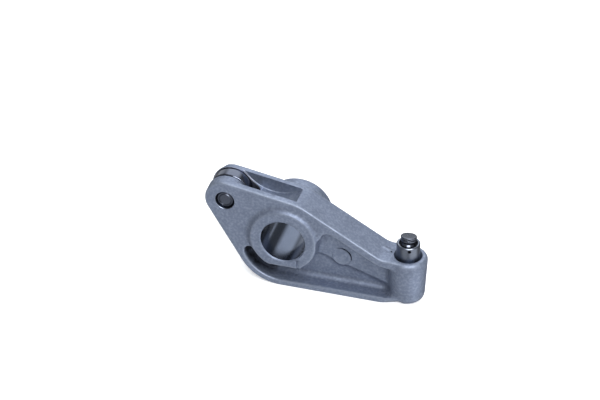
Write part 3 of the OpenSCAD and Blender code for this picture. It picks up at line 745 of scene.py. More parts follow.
def object_place(tree, location=(0, 0, 0), rotation=(0, 0, 0)):
    """Object coordinates, moved and turned so that the pattern's own axis is Z."""
    here = add(tree, "ShaderNodeTexCoord", {})["Object"]
    return add(tree, "ShaderNodeMapping", {"Vector": here, "Location": location, "Rotation": rotation})[0]


def bump(tree, height, strength, distance):
    return add(tree, "ShaderNodeBump", {"Height": height, "Strength": strength, "Distance": distance})[0]


print("material helpers ready")

# %% Cast aluminium
BLUE_GREY = (0.20, 0.237, 0.33, 1)
# Rubbed edges: real wear, lightened further as a painted highlight on edges that face the light.
RUBBED_AND_HIGHLIGHT_ALUMINIUM = (0.36, 0.41, 0.51, 1)
# The darkest colour: painted shade in corners and sheltered places, and also the tone of oil clouds.
SHADE_AND_STAIN_COLOUR = (0.014, 0.016, 0.023, 1)
SPECK = (0.30, 0.35, 0.46, 1)
SPECKED, CLOUDED, RUBBED_AND_HIGHLIGHT = 0.75, 0.12, 0.5
CAST_ROUGH, RUBBED_SMOOTHER = (0.48, 0.58), 0.08
DIMPLE_STRENGTH, DIMPLE_DEPTH = 0.7, 0.0002

cast, tree, shader = new_material("cast aluminium", Metallic=0.7)
here = object_place(tree)
grains = place_group(tree, grain, Vector=here, Dimples_per_metre=2200.0, Clouds_per_metre=120.0)
worn_and_painted = place_group(tree, wear_and_light, Vector=here)
colour = mixed(tree, times(tree, grains["Specks"], SPECKED), BLUE_GREY, SPECK)
colour = mixed(tree, times(tree, grains["Clouds"], CLOUDED), colour, SHADE_AND_STAIN_COLOUR)
# Painted shade: corners and sheltered places take the dark colour.
colour = mixed(tree, worn_and_painted["Painted shade"], colour, SHADE_AND_STAIN_COLOUR)
# Rubbed edges: a lighter colour, partly wear and partly painted highlight.
colour = mixed(tree, times(tree, worn_and_painted["Rubbed"], RUBBED_AND_HIGHLIGHT), colour, RUBBED_AND_HIGHLIGHT_ALUMINIUM)
tree.links.new(colour, shader["Base Color"])
rough = rescale(tree, grains["Clouds"], 0.0, 1.0, *CAST_ROUGH)
rough = maths(tree, "SUBTRACT", rough, times(tree, worn_and_painted["Rubbed"], RUBBED_SMOOTHER))
tree.links.new(rough, shader["Roughness"])
tree.links.new(bump(tree, grains["Height"], DIMPLE_STRENGTH, DIMPLE_DEPTH), shader["Normal"])
print("cast aluminium has", len(tree.nodes), "nodes")

# %% [markdown]
# ### Turned and ground steel
#
# One function makes all the steels and the machined aluminium, because they differ only in colour, in how
# finely they are finished and in the axis that their rings run round. Each still becomes a material of its
# own.

# %% A function for machined metals
HEAD_AXIS = ((-HEAD_X * MM, 0, 0), (0, 0, 0))
BORE_AXIS = ((0, 0, 0), (math.pi / 2, 0, 0))
PIN_AXIS = ((-pin_x * MM, pin_z * MM, 0), (math.pi / 2, 0, 0))
STREAKED, SMUDGED, RING_STRENGTH = 0.5, 0.25, 0.35
STREAK_GLOSS = 0.6


def machined(name, colour, shade, roughness, axis, per_metre=9000.0, depth=1e-5):
    """A metal with tool rings round an axis: shade is the colour of its darker streaks."""
    material, tree, shader = new_material(name, Metallic=1.0)
    tooled = place_group(tree, rings, Vector=object_place(tree, *axis), Rings_per_metre=per_metre)
    grained = place_group(tree, grain, Vector=object_place(tree), Dimples_per_metre=1500.0,
                          Clouds_per_metre=260.0)
    stained = mixed(tree, times(tree, tooled["Streaks"], STREAKED), (*colour, 1), (*shade, 1))
    stained = mixed(tree, times(tree, grained["Clouds"], SMUDGED), stained, (*shade, 1))
    low, high = roughness
    gloss = maths(tree, "ADD", times(tree, tooled["Streaks"], (high - low) * STREAK_GLOSS),
                  times(tree, grained["Clouds"], (high - low) * (1 - STREAK_GLOSS)))
    tree.links.new(stained, shader["Base Color"])
    tree.links.new(maths(tree, "ADD", gloss, low), shader["Roughness"])
    tree.links.new(bump(tree, tooled["Height"], RING_STRENGTH, depth), shader["Normal"])
    return material


print("rings can run round the head, the bore and the pin")

# %% Ten machined metals
bore_metal = machined("bored aluminium", (0.118, 0.14, 0.19), (0.096, 0.114, 0.157), (0.14, 0.22),
                      BORE_AXIS, 5000.0, 3e-6)
milled_metal = machined("milled aluminium", (0.24, 0.275, 0.34), (0.18, 0.205, 0.26), (0.26, 0.36),
                        PIN_AXIS, 2500.0, 6e-6)
# Painted light: the chamber's wall gets a much lighter colour than the other milled faces, to lift the shade
# inside the chamber.
chamber_metal_lightened = machined("milled aluminium painted lighter", (0.44, 0.47, 0.58), (0.34, 0.37, 0.46), (0.36, 0.46),
                         PIN_AXIS, 2500.0, 6e-6)
pin_metal = machined("hardened pin steel", (0.13, 0.145, 0.185), (0.08, 0.09, 0.12), (0.24, 0.36),
                     PIN_AXIS, 6000.0)
roller_metal = machined("ground bearing steel", (0.135, 0.15, 0.195), (0.10, 0.112, 0.15), (0.12, 0.2),
                        PIN_AXIS, 9000.0, 2e-6)
sleeve_metal = machined("ground sleeve steel", (0.22, 0.245, 0.30), (0.13, 0.147, 0.185), (0.26, 0.38),
                        HEAD_AXIS)
plunger_metal = machined("lapped plunger steel", (0.40, 0.41, 0.43), (0.26, 0.27, 0.29), (0.12, 0.22),
                         HEAD_AXIS, 12000.0)
foot_metal = machined("hardened foot steel", (0.15, 0.165, 0.205), (0.10, 0.11, 0.14), (0.22, 0.34),
                      HEAD_AXIS, 8000.0)
spring_metal = machined("drawn spring wire", (0.42, 0.43, 0.45), (0.25, 0.26, 0.28), (0.2, 0.32),
                        HEAD_AXIS, 6000.0)
sheet_metal = machined("pressed sheet steel", (0.46, 0.43, 0.37), (0.30, 0.28, 0.24), (0.25, 0.38),
                       HEAD_AXIS, 4000.0)
print(len(bpy.data.materials), "materials, those of the CAD nodes among them")

# %% [markdown]
# ### A painted highlight along a milled edge
#
# Where the cam's trough runs out into the roller's chamber, the sharp milled edge would catch a thin line of
# light, and it is painted on as a bright colour: a painted highlight. It follows the trough's circle, so a
# group that knows the circle's radius can draw it: a narrow line just outside it. The cast skin and the
# chamber's wall meet there, so both metals get the painted line.

# %% Painted highlight group
highlight_line, given, result = new_group(
    "Painted highlight line", {"Vector": "Vector", "Radius": 0.01, "Width": 0.0003, "From": 0.0, "To": 0.0}, ["Line"])
split = add(highlight_line, "ShaderNodeSeparateXYZ", {0: given["Vector"]})
outside = maths(highlight_line, "SUBTRACT", distance(highlight_line, split[0], split[2]), given["Radius"])
share = maths(highlight_line, "DIVIDE", outside, given["Width"])
thin = maths(highlight_line, "SUBTRACT", 1.0, share, clamp=True)
for operation, value, limit in (("GREATER_THAN", outside, 1e-5), ("LESS_THAN", split[0], 0.0),
                                ("GREATER_THAN", split[1], given["From"]),
                                ("LESS_THAN", split[1], given["To"])):
    thin = times(highlight_line, thin, maths(highlight_line, operation, value, limit))
highlight_line.links.new(thin, result["Line"])

# Painted highlight: a bright colour, with less metal, drawn along the trough's edge.
PAINTED_HIGHLIGHT, HIGHLIGHT_WIDTH, CHEEK_GAP = (0.62, 0.66, 0.74, 1), 0.0006, 0.1
for material, from_y in ((cast, THRUST_FACE), (chamber_metal_lightened, CHEEKS[0] + CHEEK_GAP)):
    tree = material.node_tree
    shader = tree.nodes["Principled BSDF"].inputs
    plain, metallic = shader["Base Color"].links[0].from_socket, shader["Metallic"].default_value
    there = object_place(tree, (-TROUGH_AT[0] * MM, 0, -TROUGH_AT[1] * MM))
    highlight = place_group(tree, highlight_line, Vector=there, Radius=TROUGH_R * MM, Width=HIGHLIGHT_WIDTH,
                       From=from_y * MM, To=(TROUGH_BACK - 0.02) * MM)["Line"]
    tree.links.new(mixed(tree, highlight, plain, PAINTED_HIGHLIGHT), shader["Base Color"])
    tree.links.new(maths(tree, "SUBTRACT", metallic, times(tree, highlight, metallic)), shader["Metallic"])
print("edge line group has", len(highlight_line.nodes), "nodes")

# %% [markdown]
# ## Dress the casting
#
# The faces that the tools cut get the machined finishes, and the rest stays as cast. A face belongs to a
# tool when its centre lies within that tool's reach. The bore's chamfers keep the cast finish, because the
# photograph shows them as dull as the skin.

# %% Fit a piece to its body
SHARP = math.radians(32)


def fit(piece, metal, body, record_slot, *nodes):
    """Gives a finished piece its metal, its body and the CAD nodes it stands for."""
    piece.data.shade_smooth()
    piece.data.set_sharp_from_angle(angle=SHARP)
    if not piece.data.materials:
        piece.data.materials.append(metal)
    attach(piece, body)
    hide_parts(*nodes)
    triangles = sum(len(face.vertices) - 2 for face in piece.data.polygons)
    print(piece.name, "has", triangles, "triangles")


print("edges over", round(math.degrees(SHARP)), "degrees stay sharp")

# %% Casting onto its body
NEAR, RUNWAY_RIM = 0.03, 0.7
casting.data.materials.clear()
for metal_of_face in (cast, bore_metal, milled_metal, chamber_metal_lightened):
    casting.data.materials.append(metal_of_face)
cx, cy, cz = rows_of(casting.data.polygons, "center").T / MM
along = cx * gallery_way.x + (cz - GALLERY_UP) * gallery_way.z
off_gallery = np.sqrt(np.maximum(cx ** 2 + (cy - GALLERY_Y) ** 2 + (cz - GALLERY_UP) ** 2 - along ** 2, 0))
from_pin = np.hypot(cx - pin_x, cz - pin_z)
from_torus = np.hypot(from_pin - CHAMBER_R + CHAMBER_CORNER, cy - corner)
milled = (np.hypot(cx - HEAD_X, cy) < POCKET_R + POCKET_CHAMFER + NEAR) & (cz > POCKET_FLOOR - NEAR)
milled |= (from_pin < PIN_R + PIN_CHAMFER + 0.05) & (np.abs(cy) < HALF_W)
milled |= (off_gallery < GALLERY_R + NEAR) & (along > GALLERY_SPAN[0] - 1) & (along < GALLERY_SPAN[1] + 1)
walled = (from_pin < CHAMBER_R + NEAR) & (from_pin > THRUST_R + NEAR) & (cy > CHEEKS[0] + NEAR) & (cy < corner)
walled |= (cy >= corner) & (from_pin < CHAMBER_R) & (np.abs(from_torus - CHAMBER_CORNER) < NEAR)
walled |= (cy >= corner) & (cy < RUNWAY_FACE + NEAR) & (from_pin < RUNWAY_R + RUNWAY_RIM)
bored_face = np.hypot(cx, cz) < BORE_R + NEAR
finish_of_face = np.select([bored_face, milled, walled], [1, 2, 3], 0)
casting.data.polygons.foreach_set("material_index", finish_of_face.astype(np.int32))
fit(casting, cast, "arm", "casting", "rocker_body")
print("faces of each finish:", np.bincount(finish_of_face))

# %% [markdown]
# ## The roller, its pin and its needles
#
# The cam runs on a hardened roller. It turns on needles, and they turn on a pin that is pressed into both
# ears and sits a little below their faces. A groove is turned into each end of the pin, and its rim is
# chamfered: they draw the rings that the photograph shows. The roller's rim is ground, with soft edges, so
# the cam never meets a sharp one. All of this is lathe work, so an outline each is all it takes.

# %% Pin and roller
FRONT_ROUND, BACK_ROUND, RACE_CHAMFER = 0.9, 0.25, 0.15
GROOVE_DEPTH, PIN_TAPER, PIN_EASE = 0.35, 1, 0.09
pin_place = (pin_x, 0, pin_z)
half_end = [(0, PIN_END), (2.45, PIN_END), (2.75, PIN_END - GROOVE_DEPTH), (3.0, PIN_END - GROOVE_DEPTH),
            (3.15, PIN_END), (3.4, PIN_END), (PIN_R, PIN_END - PIN_TAPER)]
pin_outline = eased([(r, -h) for r, h in half_end] + half_end[::-1], PIN_EASE)
fit(turned("roller_axle", pin_outline, pin_place, ALONG_Y), pin_metal, "arm", "pin_steel", "roller_pin")

y0, y1 = ROLLER_Y
roller_outline = [(RACE_R, y0 + RACE_CHAMFER), (RACE_R + RACE_CHAMFER, y0)]
roller_outline += arc((ROLLER_R - FRONT_ROUND, y0 + FRONT_ROUND), FRONT_ROUND, -90, 0, 12)
roller_outline += arc((ROLLER_R - BACK_ROUND, y1 - BACK_ROUND), BACK_ROUND, 0, 90, 6)
roller_outline += [(RACE_R + RACE_CHAMFER, y1), (RACE_R, y1 - RACE_CHAMFER)]
fit(turned("cam_roller", roller_outline, pin_place, ALONG_Y, 160), roller_metal, "roller", "bearing_steel",
    "roller_ring")

# %% [markdown]
# ### Sixteen needles by Geometry Nodes
#
# The needles are one shape repeated round a circle, which is what Geometry Nodes are for. We turn one
# needle, then a tree places a copy on each point of a circle. The circle and the number of needles are
# named inputs, so another bearing needs other numbers and nothing else.

# %% Tree that sets copies round a circle


def set_down(tree, given, result, shape):
    """Ends a tree: the shape goes to its place as real geometry, and gets its metal."""
    placed = add(tree, "GeometryNodeTransform", {"Geometry": shape, "Translation": given["Place"]})[0]
    real = add(tree, "GeometryNodeRealizeInstances", {"Geometry": placed})[0]
    dressed = add(tree, "GeometryNodeSetMaterial", {"Geometry": real, "Material": given["Metal"]})[0]
    tree.links.new(dressed, result[0])


crown, given, result = new_group(
    "Copies round an axle", {"One": "Geometry", "Copies": 12, "Circle radius": 0.005, "Place": "Vector",
                             "Metal": "Material"}, ["All"], "Geometry")
circle = add(crown, "GeometryNodeMeshCircle", {"Vertices": given["Copies"],
                                               "Radius": given["Circle radius"]})[0]
stood = add(crown, "GeometryNodeTransform", {"Geometry": circle, "Rotation": (math.pi / 2, 0, 0)})[0]
set_down(crown, given, result, add(crown, "GeometryNodeInstanceOnPoints", {"Points": stood,
                                                                            "Instance": given["One"]})[0])
print("needle tree has", len(crown.nodes), "nodes")

# %% Needles


def grown(piece, tree, **values):
    """Runs a Geometry Nodes tree on a piece and keeps the plain mesh that comes out."""
    step = piece.modifiers.new(tree.name, "NODES")
    step.node_group = tree
    names = {item.name: item.identifier for item in tree.interface.items_tree
             if item.item_type == "SOCKET" and item.in_out == "INPUT"}
    for label, value in spaced(values).items():
        step[names[label]] = value
    baked(piece)
    bm = bmesh.new()
    bm.from_mesh(piece.data)
    bmesh.ops.remove_doubles(bm, verts=bm.verts, dist=1e-7)
    bmesh.ops.recalc_face_normals(bm, faces=bm.faces)
    bm.to_mesh(piece.data)
    bm.free()
    return piece


NEEDLE_EASE = 0.22
half = NEEDLE_LENGTH / 2
needle_outline = eased([(0, -half), (NEEDLE_R, -half), (NEEDLE_R, half), (0, half)], NEEDLE_EASE)
needles = turned("needle_set", needle_outline, (0, 0, 0), ALONG_Y, 32)
middle = (pin_x * MM, sum(ROLLER_Y) / 2 * MM, pin_z * MM)
grown(needles, crown, Copies=NEEDLES, Circle_radius=NEEDLE_PITCH_R * MM, Place=middle, Metal=roller_metal)
fit(needles, roller_metal, "needles", "bearing_steel", *[f"needle_{i + 1:02d}" for i in range(NEEDLES)])

# %% [markdown]
# ## The adjuster
#
# A hydraulic adjuster keeps the gap at the valve closed. Its sleeve is pressed into the pocket, and inside
# it two plungers stand on a spring and on trapped oil. We turn each piece and drill its holes. Only the
# top of it shows, but the inside is there for whoever takes it apart.

# %% Sleeve and support disc
head_foot = (HEAD_X, 0, 0)
EASE, FINE_EASE, EDGE = 0.12, 0.1, 0.4
DISC_R = 4.8
WAIST_R, WAIST_LOW, WAIST_HIGH, WAIST_SLOPE = 4.8, -17.6, -5.15, 0.35
GROOVE_R, GROOVE_TOP = 4.37, 1.65
VENT_TURN, VENT_Z, SLEEVE_VENT_R = math.radians(-70), RIM_Z - 1.5, 0.75
FEED_Z, FEED_R, DRILL_REACH = -6.15, 0.5, 7
sleeve_outline = eased([
    (0, SLEEVE_BASE), (SLEEVE_R - EDGE, SLEEVE_BASE), (SLEEVE_R, SLEEVE_BASE + EDGE), (SLEEVE_R, WAIST_LOW),
    (WAIST_R, WAIST_LOW + WAIST_SLOPE), (WAIST_R, WAIST_HIGH - WAIST_SLOPE), (SLEEVE_R, WAIST_HIGH),
    (SLEEVE_R, RIM_Z - EDGE), (SLEEVE_R - EDGE, RIM_Z), (MOUTH_R, RIM_Z), (MOUTH_R, GROOVE_TOP),
    (GROOVE_R, GROOVE_TOP), (GROOVE_R, SHOULDER_Z), (GUIDE_R, SHOULDER_Z), (GUIDE_R, CHAMBER_FLOOR),
    (0, CHAMBER_FLOOR)], EASE)
sleeve = turned("adjuster_body", sleeve_outline, head_foot)
vent_start = Vector((HEAD_X, 0, VENT_Z))
vent_way = Vector((math.cos(VENT_TURN), math.sin(VENT_TURN), 0))
feed = (FEED_R, (HEAD_X, 0, FEED_Z), (HEAD_X - DRILL_REACH, 0, FEED_Z), 32)
cut(sleeve, [drill(SLEEVE_VENT_R, vent_start, vent_start + vent_way * DRILL_REACH, 32), drill(*feed)])
fit(sleeve, sleeve_metal, "arm", "sleeve_steel", "adjuster_sleeve")

disc_outline = eased([(0, POCKET_FLOOR), (DISC_R, POCKET_FLOOR), (DISC_R, SLEEVE_BASE),
                      (0, SLEEVE_BASE)], EASE)
fit(turned("pocket_disc", disc_outline, head_foot), pin_metal, "arm", "sheet_steel", "support_disc")

# %% [markdown]
# ### Plungers
#
# The upper plunger carries a ball on a waisted neck, which flares into its shoulder. The lower one holds the
# valve seat. Both are thinner where they meet, so only their outer ends run in the sleeve. An arc in the
# outline gives the flare, and another the ball.

# %% Plungers
PLUNGER_R, RELIEF_R, RESERVOIR_R, CAGE_BORE_R, SEAT_R = 3.9, 3.5, 2.4, 2.92, 0.9
RESERVOIR_TOP, UPPER_RELIEF, LOWER_RELIEF, RESERVOIR_FLOOR = -0.75, -2.55, -7.15, -7.55
NECK_R, FLARE_R = 1.1, 3.3


def endless(points, size):
    """Rounds every corner of an outline that goes all the way round."""
    middle = tuple((Vector(points[0]) + Vector(points[-1])) / 2)
    return eased([middle] + points + [middle], size)[:-1]


flare = FLARE_R - NECK_R
meet = math.degrees(math.acos(NECK_R / BALL_R))
upper_outline = eased([(0, RESERVOIR_TOP), (RESERVOIR_R, RESERVOIR_TOP), (RESERVOIR_R, PLUNGER_BASE),
                       (RELIEF_R, PLUNGER_BASE), (RELIEF_R, UPPER_RELIEF), (PLUNGER_R, UPPER_RELIEF),
                       (PLUNGER_R, SHOULDER_Z), (FLARE_R, SHOULDER_Z)], EASE)
upper_outline += arc((FLARE_R, SHOULDER_Z + flare), flare, 270, 180, 12)[1:]
upper_outline += arc((0, BALL_Z), BALL_R, -meet, 90, 20)[:-1] + [(0, BALL_Z + BALL_R)]
fit(turned("upper_plunger", upper_outline, head_foot), plunger_metal, "plunger", "plunger_steel",
    "ball_plunger")

lower_outline = endless([
    (RESERVOIR_R, PLUNGER_BASE), (RELIEF_R, PLUNGER_BASE), (RELIEF_R, LOWER_RELIEF),
    (PLUNGER_R, LOWER_RELIEF), (PLUNGER_R, VALVE_BASE), (CAGE_BORE_R, VALVE_BASE), (CAGE_BORE_R, SEAT_Z),
    (SEAT_R, SEAT_Z), (SEAT_R, RESERVOIR_FLOOR), (RESERVOIR_R, RESERVOIR_FLOOR)], FINE_EASE)
lower = turned("lower_plunger", lower_outline, head_foot)
cut(lower, [drill(*feed)])
fit(lower, plunger_metal, "plunger", "plunger_steel", "valve_plunger")

# %% [markdown]
# ### The swivel foot
#
# The foot snaps over the ball and leans on it as it rests, so it is turned about a leaning axis through the
# ball's centre. Below its body a skirt narrows and flares out again, which is the lit cone in the
# photograph. A groove parts the body from the face that pushes on the valve.

# %% Foot
SOCKET_R, FOOT_TOP, GRIP = 1.78, 2.48, -0.7
FACE_R, FACE_BASE, FACE_ROUND, FOOT_EASE = 3.175, 1.38, 0.4, 0.2
SKIRT = [(1.9, -0.95), (2.3, -1.9), (3.0, -1.9), (3.05, -1.7), (2.55, -0.9), (2.6, -0.5)]
BODY = [(3.4, 0.3), (3.45, 1.0), (3.1, 1.15), (3.1, FACE_BASE), (FACE_R, FACE_BASE)]
lean = Vector((0, math.sin(FOOT_LEAN), math.cos(FOOT_LEAN)))
lip = math.asin(GRIP / SOCKET_R)
foot_outline = [(0, SOCKET_R)] + arc((0, 0), SOCKET_R, 90, math.degrees(lip), 16)[1:]
foot_outline += eased([(SOCKET_R * math.cos(lip), GRIP)] + SKIRT + BODY, FOOT_EASE)[1:]
foot_outline += arc((FACE_R, FACE_BASE + FACE_ROUND), FACE_ROUND, 280, 360, 6)
foot_outline += arc((FACE_R, FOOT_TOP - FACE_ROUND), FACE_ROUND, 0, 90, 6)
foot_outline += [(2.35, FOOT_TOP), (0, FOOT_TOP)]
fit(turned("swivel_shoe", foot_outline, (HEAD_X, 0, BALL_Z), lean), foot_metal, "foot", "foot_steel",
    "swivel_foot")

# %% [markdown]
# ### The check valve
#
# A ball under the lower plunger lets oil in and not out. A cage pressed from thin sheet holds it, with four
# holes in its floor for the oil. Both are turned shapes, and the holes are drilled.

# %% Check ball and its cage
CHECK_R = 1.25
CAGE_R, BRIM_R, SHEET = 1.55, 2.9, 0.3
HOLE_R, HOLE_AT = 0.3, 0.775
ball_outline = [(0, CHECK_Z - CHECK_R)] + arc((0, CHECK_Z), CHECK_R, -90, 90, 24)[1:-1]
ball_outline += [(0, CHECK_Z + CHECK_R)]
fit(turned("valve_ball", ball_outline, head_foot, UP, 64), roller_metal, "valve_ball", "bearing_steel",
    "check_ball")

cage_outline = eased([
    (0, CAGE_FLOOR), (CAGE_R, CAGE_FLOOR), (CAGE_R, SEAT_Z), (BRIM_R, SEAT_Z), (BRIM_R, SEAT_Z - SHEET),
    (CAGE_R + SHEET, SEAT_Z - SHEET), (CAGE_R + SHEET, CAGE_FLOOR - SHEET), (0, CAGE_FLOOR - SHEET)],
    FINE_EASE)
cage = turned("ball_cage", cage_outline, head_foot, UP, 96)
hole_spots = [(HEAD_X + a, b) for a, b in arc((0, 0), HOLE_AT, 45, 315, 3)]
cut(cage, [drill(HOLE_R, (*spot, CAGE_FLOOR - 1), (*spot, CAGE_FLOOR + 1), 24) for spot in hole_spots])
fit(cage, sheet_metal, "plunger", "sheet_steel", "check_cage")

# %% [markdown]
# ### Springs and snap ring by Geometry Nodes
#
# A spring and a snap ring are both one section drawn along a path. The tree for the springs makes a helix
# from its turns, its width and its height. The ring's tree draws a flat section along an arc that stops
# short of a full turn.

# %% Wire trees
wound, given, result = new_group(
    "Wound wire", {"Blank": "Geometry", "Coil radius": 0.003, "Wire radius": 0.0004, "Turns": 3.0,
                   "Rise": 0.006, "Steps a turn": 48, "Place": "Vector", "Metal": "Material"},
    ["Wire"], "Geometry")
helix = add(wound, "GeometryNodeCurveSpiral", {
    "Resolution": given["Steps a turn"], "Rotations": given["Turns"], "Start Radius": given["Coil radius"],
    "End Radius": given["Coil radius"], "Height": given["Rise"]})[0]
section = add(wound, "GeometryNodeCurvePrimitiveCircle", {"Resolution": 14, "Radius": given["Wire radius"]})[0]
set_down(wound, given, result, add(wound, "GeometryNodeCurveToMesh", {
    "Curve": helix, "Profile Curve": section, "Fill Caps": True})[0])

clip, given, result = new_group(
    "Open ring", {"Blank": "Geometry", "Ring radius": 0.004, "Width": 0.0007, "Thickness": 0.0005,
                  "Starts at": 0.0, "Turns through": 5.6, "Place": "Vector", "Metal": "Material"},
    ["Ring"], "Geometry")
path = add(clip, "GeometryNodeCurveArc", {"Resolution": 80, "Radius": given["Ring radius"], "Start Angle":
                                          given["Starts at"], "Sweep Angle": given["Turns through"]})[0]
flat = add(clip, "GeometryNodeCurvePrimitiveQuadrilateral", {"Width": given["Width"],
                                                             "Height": given["Thickness"]})[0]
flat = add(clip, "GeometryNodeFilletCurve", {"Curve": flat, "Radius": 0.0001, "Count": 3}, mode="POLY")[0]
set_down(clip, given, result, add(clip, "GeometryNodeCurveToMesh", {
    "Curve": path, "Profile Curve": flat, "Fill Caps": True})[0])
print("wire trees have", len(wound.nodes), "and", len(clip.nodes), "nodes")

# %% [markdown]
# The return spring is pressed together as the plungers slide down, and the check spring as the ball lifts.
# Each rides with the piece that it stands on.

# %% Springs and ring
WIRE_R, RETURN_COIL_R, CHECK_WIRE_R, CHECK_COIL_R, SPRING_GAP = 0.4, 3.1, 0.08, 0.875, 0.05


def helix_between(name, low, high, coil_radius, wire_radius, turns):
    piece = show(name, bpy.data.meshes.new(name))
    return grown(piece, wound, Coil_radius=coil_radius * MM, Wire_radius=wire_radius * MM, Turns=turns,
                 Rise=(high - low - 2 * wire_radius) * MM, Place=(HEAD_X * MM, 0, (low + wire_radius) * MM),
                 Metal=spring_metal)


return_coil = helix_between("return_coil", CHAMBER_FLOOR + SPRING_GAP, VALVE_BASE - SPRING_GAP,
                            RETURN_COIL_R, WIRE_R, 3.0)
fit(return_coil, spring_metal, "arm", "spring_steel", "return_spring")
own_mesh(return_coil)
check_high = CHECK_Z - math.sqrt(CHECK_R ** 2 - CHECK_COIL_R ** 2) - CHECK_WIRE_R - SPRING_GAP
check_coil = helix_between("check_coil", CAGE_FLOOR + SPRING_GAP, check_high, CHECK_COIL_R, CHECK_WIRE_R, 2.0)
fit(check_coil, spring_metal, "plunger", "spring_steel", "check_spring")
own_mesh(check_coil)

RING_IN, RING_OUT, RING_Z, RING_T, RING_GAP = 3.6, 4.32, 1.1, 0.5, 40
ring = show("snap_clip", bpy.data.meshes.new("snap_clip"))
grown(ring, clip, Ring_radius=(RING_IN + RING_OUT) / 2 * MM, Width=(RING_OUT - RING_IN) * MM,
      Thickness=RING_T * MM, Starts_at=math.radians(90 + RING_GAP / 2),
      Turns_through=math.radians(360 - RING_GAP), Place=(HEAD_X * MM, 0, (RING_Z + RING_T / 2) * MM),
      Metal=spring_metal)
fit(ring, spring_metal, "arm", "spring_steel", "snap_ring")

# %% [markdown]
# ## The table and the light
#
# The picture is a studio shot on white paper. The paper would fill every mirror of the part with plain
# white, so polished surfaces don't see it: they see the surroundings below, which have light and dark parts
# as a real studio has.

# %% Floor
FLOOR_Z, FLOOR_REACH = -25.0, 3.0
floor_mesh = bpy.data.meshes.new("floor")
floor_mesh.from_pydata([(a * FLOOR_REACH, b * FLOOR_REACH, FLOOR_Z * MM)
                        for a, b in ((-1, -1), (1, -1), (1, 1), (-1, 1))], [], [(0, 1, 2, 3)])
floor = show("floor", floor_mesh)
floor.visible_glossy = False
paper, tree, shader = new_material("white paper", Base_Color=(0.93, 0.935, 0.94, 1), Roughness=0.9,
                                   Emission_Color=(1, 1, 1, 1), Emission_Strength=0.45)
floor_mesh.materials.append(paper)
print("floor at", FLOOR_Z, "mm")

# %% [markdown]
# ### A softbox drawn on the sky
#
# Metal shows what surrounds it, so the light is shaped by what the metal must show. A softbox is a bright
# rectangle in one direction. This group gives one, with soft borders, from its direction and its half width
# and half height. They are measured on a plane one unit away, so 1 is 45 degrees.

# %% Softbox group
softbox, given, result = new_group(
    "Softbox", {"Direction": "Vector", "Centre": "Vector", "Right": "Vector", "Up": "Vector",
                "Half width": 0.5, "Half height": 0.5, "Border": 0.1}, ["Light"])
ahead, aside, above = (add(softbox, "ShaderNodeVectorMath", {0: given["Direction"], 1: given[way]},
                           operation="DOT_PRODUCT")[1] for way in ("Centre", "Right", "Up"))
light = maths(softbox, "GREATER_THAN", ahead, 0.01)
for off, half_size in ((aside, "Half width"), (above, "Half height")):
    off = maths(softbox, "ABSOLUTE", maths(softbox, "DIVIDE", off, ahead))
    inside = maths(softbox, "SUBTRACT", given[half_size], off)
    inside = maths(softbox, "DIVIDE", inside, given["Border"])
    light = times(softbox, light, rescale(softbox, inside, -0.5, 0.5))
softbox.links.new(light, result["Light"])
print("softbox group has", len(softbox.nodes), "nodes")

# %% [markdown]
# ### The studio
#
# Bearings are counted from the camera towards its right, so 90 is on the right and 180 behind the part.
# Heights are counted from the horizon. A wide box behind lights every face that looks up, and stays clear of
# the sides, so the bore and the roller keep dark bands. The bore mirrors two small ones, behind to the left
# and at the horizon. The two low boxes are what upright faces mirror, and the bright one at the right front
# gives round edges their gleam. The lamp over the camera draws the thin bright lines along the edges.

# %% World
world = bpy.data.worlds.new("studio")
world.use_nodes = True
bpy.context.scene.world = world
sky = world.node_tree
background = sky.nodes["Background"]
ray = add(sky, "ShaderNodeTexCoord", {})["Generated"]


def toward(bearing, rise):
    """The direction at a bearing from the camera and a height over the horizon, in degrees."""
    turn, lift = AZIMUTH + math.radians(bearing), math.radians(rise)
    return Vector((math.sin(turn) * math.cos(lift), -math.cos(turn) * math.cos(lift), math.sin(lift)))


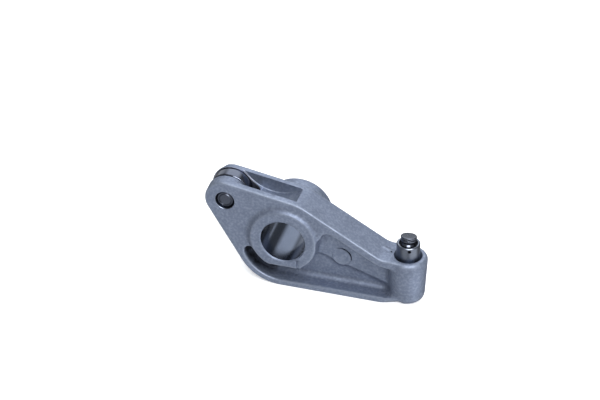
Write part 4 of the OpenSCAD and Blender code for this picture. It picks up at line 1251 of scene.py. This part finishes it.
def panel(bearing, rise, half_width, half_height, border, strength):
    """One softbox of the sky: its light, already multiplied by its strength."""
    centre, right = toward(bearing, rise), toward(bearing + 90, 0)
    out = place_group(sky, softbox, Direction=ray, Centre=centre, Right=right, Up=centre.cross(right),
                      Half_width=half_width, Half_height=half_height, Border=border)
    return times(sky, out["Light"], strength)


print("the camera looks from", tuple(round(v, 3) for v in toward(0, math.degrees(ELEVATION))))

# %% Boxes in the sky
PANELS = {
    "behind": (168, 58, 0.5, 0.9, 0.3, 1.65),
    "behind left": (201, 7, 0.13, 0.25, 0.12, 0.75),
    "low left": (-36, -36, 0.42, 0.7, 0.3, 0.42),
    "low right": (50, -36, 0.6, 0.7, 0.3, 0.95),
    "horizon": (128, -3, 0.16, 0.06, 0.05, 0.9),
    "right front": (37, 17, 0.12, 0.28, 0.1, 2.0),
}
BELOW_HORIZON, ABOVE_HORIZON = 0.26, 0.22
SKY_TINT = (0.96, 0.98, 1.0, 1)
height = add(sky, "ShaderNodeSeparateXYZ", {0: ray})[2]
total = rescale(sky, height, -0.06, 0.06, BELOW_HORIZON, ABOVE_HORIZON)
for numbers in PANELS.values():
    total = maths(sky, "ADD", total, panel(*numbers))
seen = add(sky, "ShaderNodeLightPath", {})["Is Camera Ray"]
background.inputs[0].default_value = SKY_TINT
sky.links.new(add(sky, "ShaderNodeMix", {0: seen, 2: total, 3: 1.0})[0], background.inputs[1])
print(len(PANELS), "boxes in the sky")

# %% Key lamp
KEY_AT, KEY_DISTANCE, KEY_SIZE, KEY_WATTS = (14, 48), 1.2, (0.9, 0.5), 13
lamp = bpy.data.lights.new("key", "AREA")
lamp.shape, lamp.size, lamp.size_y, lamp.energy = "RECTANGLE", *KEY_SIZE, KEY_WATTS
holder = bpy.data.objects.new("key", lamp)
holder.location = toward(*KEY_AT) * KEY_DISTANCE
holder.rotation_euler = (-holder.location).to_track_quat("-Z", "Y").to_euler()
bpy.context.scene.collection.objects.link(holder)
bpy.context.scene.view_settings.view_transform = "Standard"
print("one lamp of", KEY_WATTS, "watts")
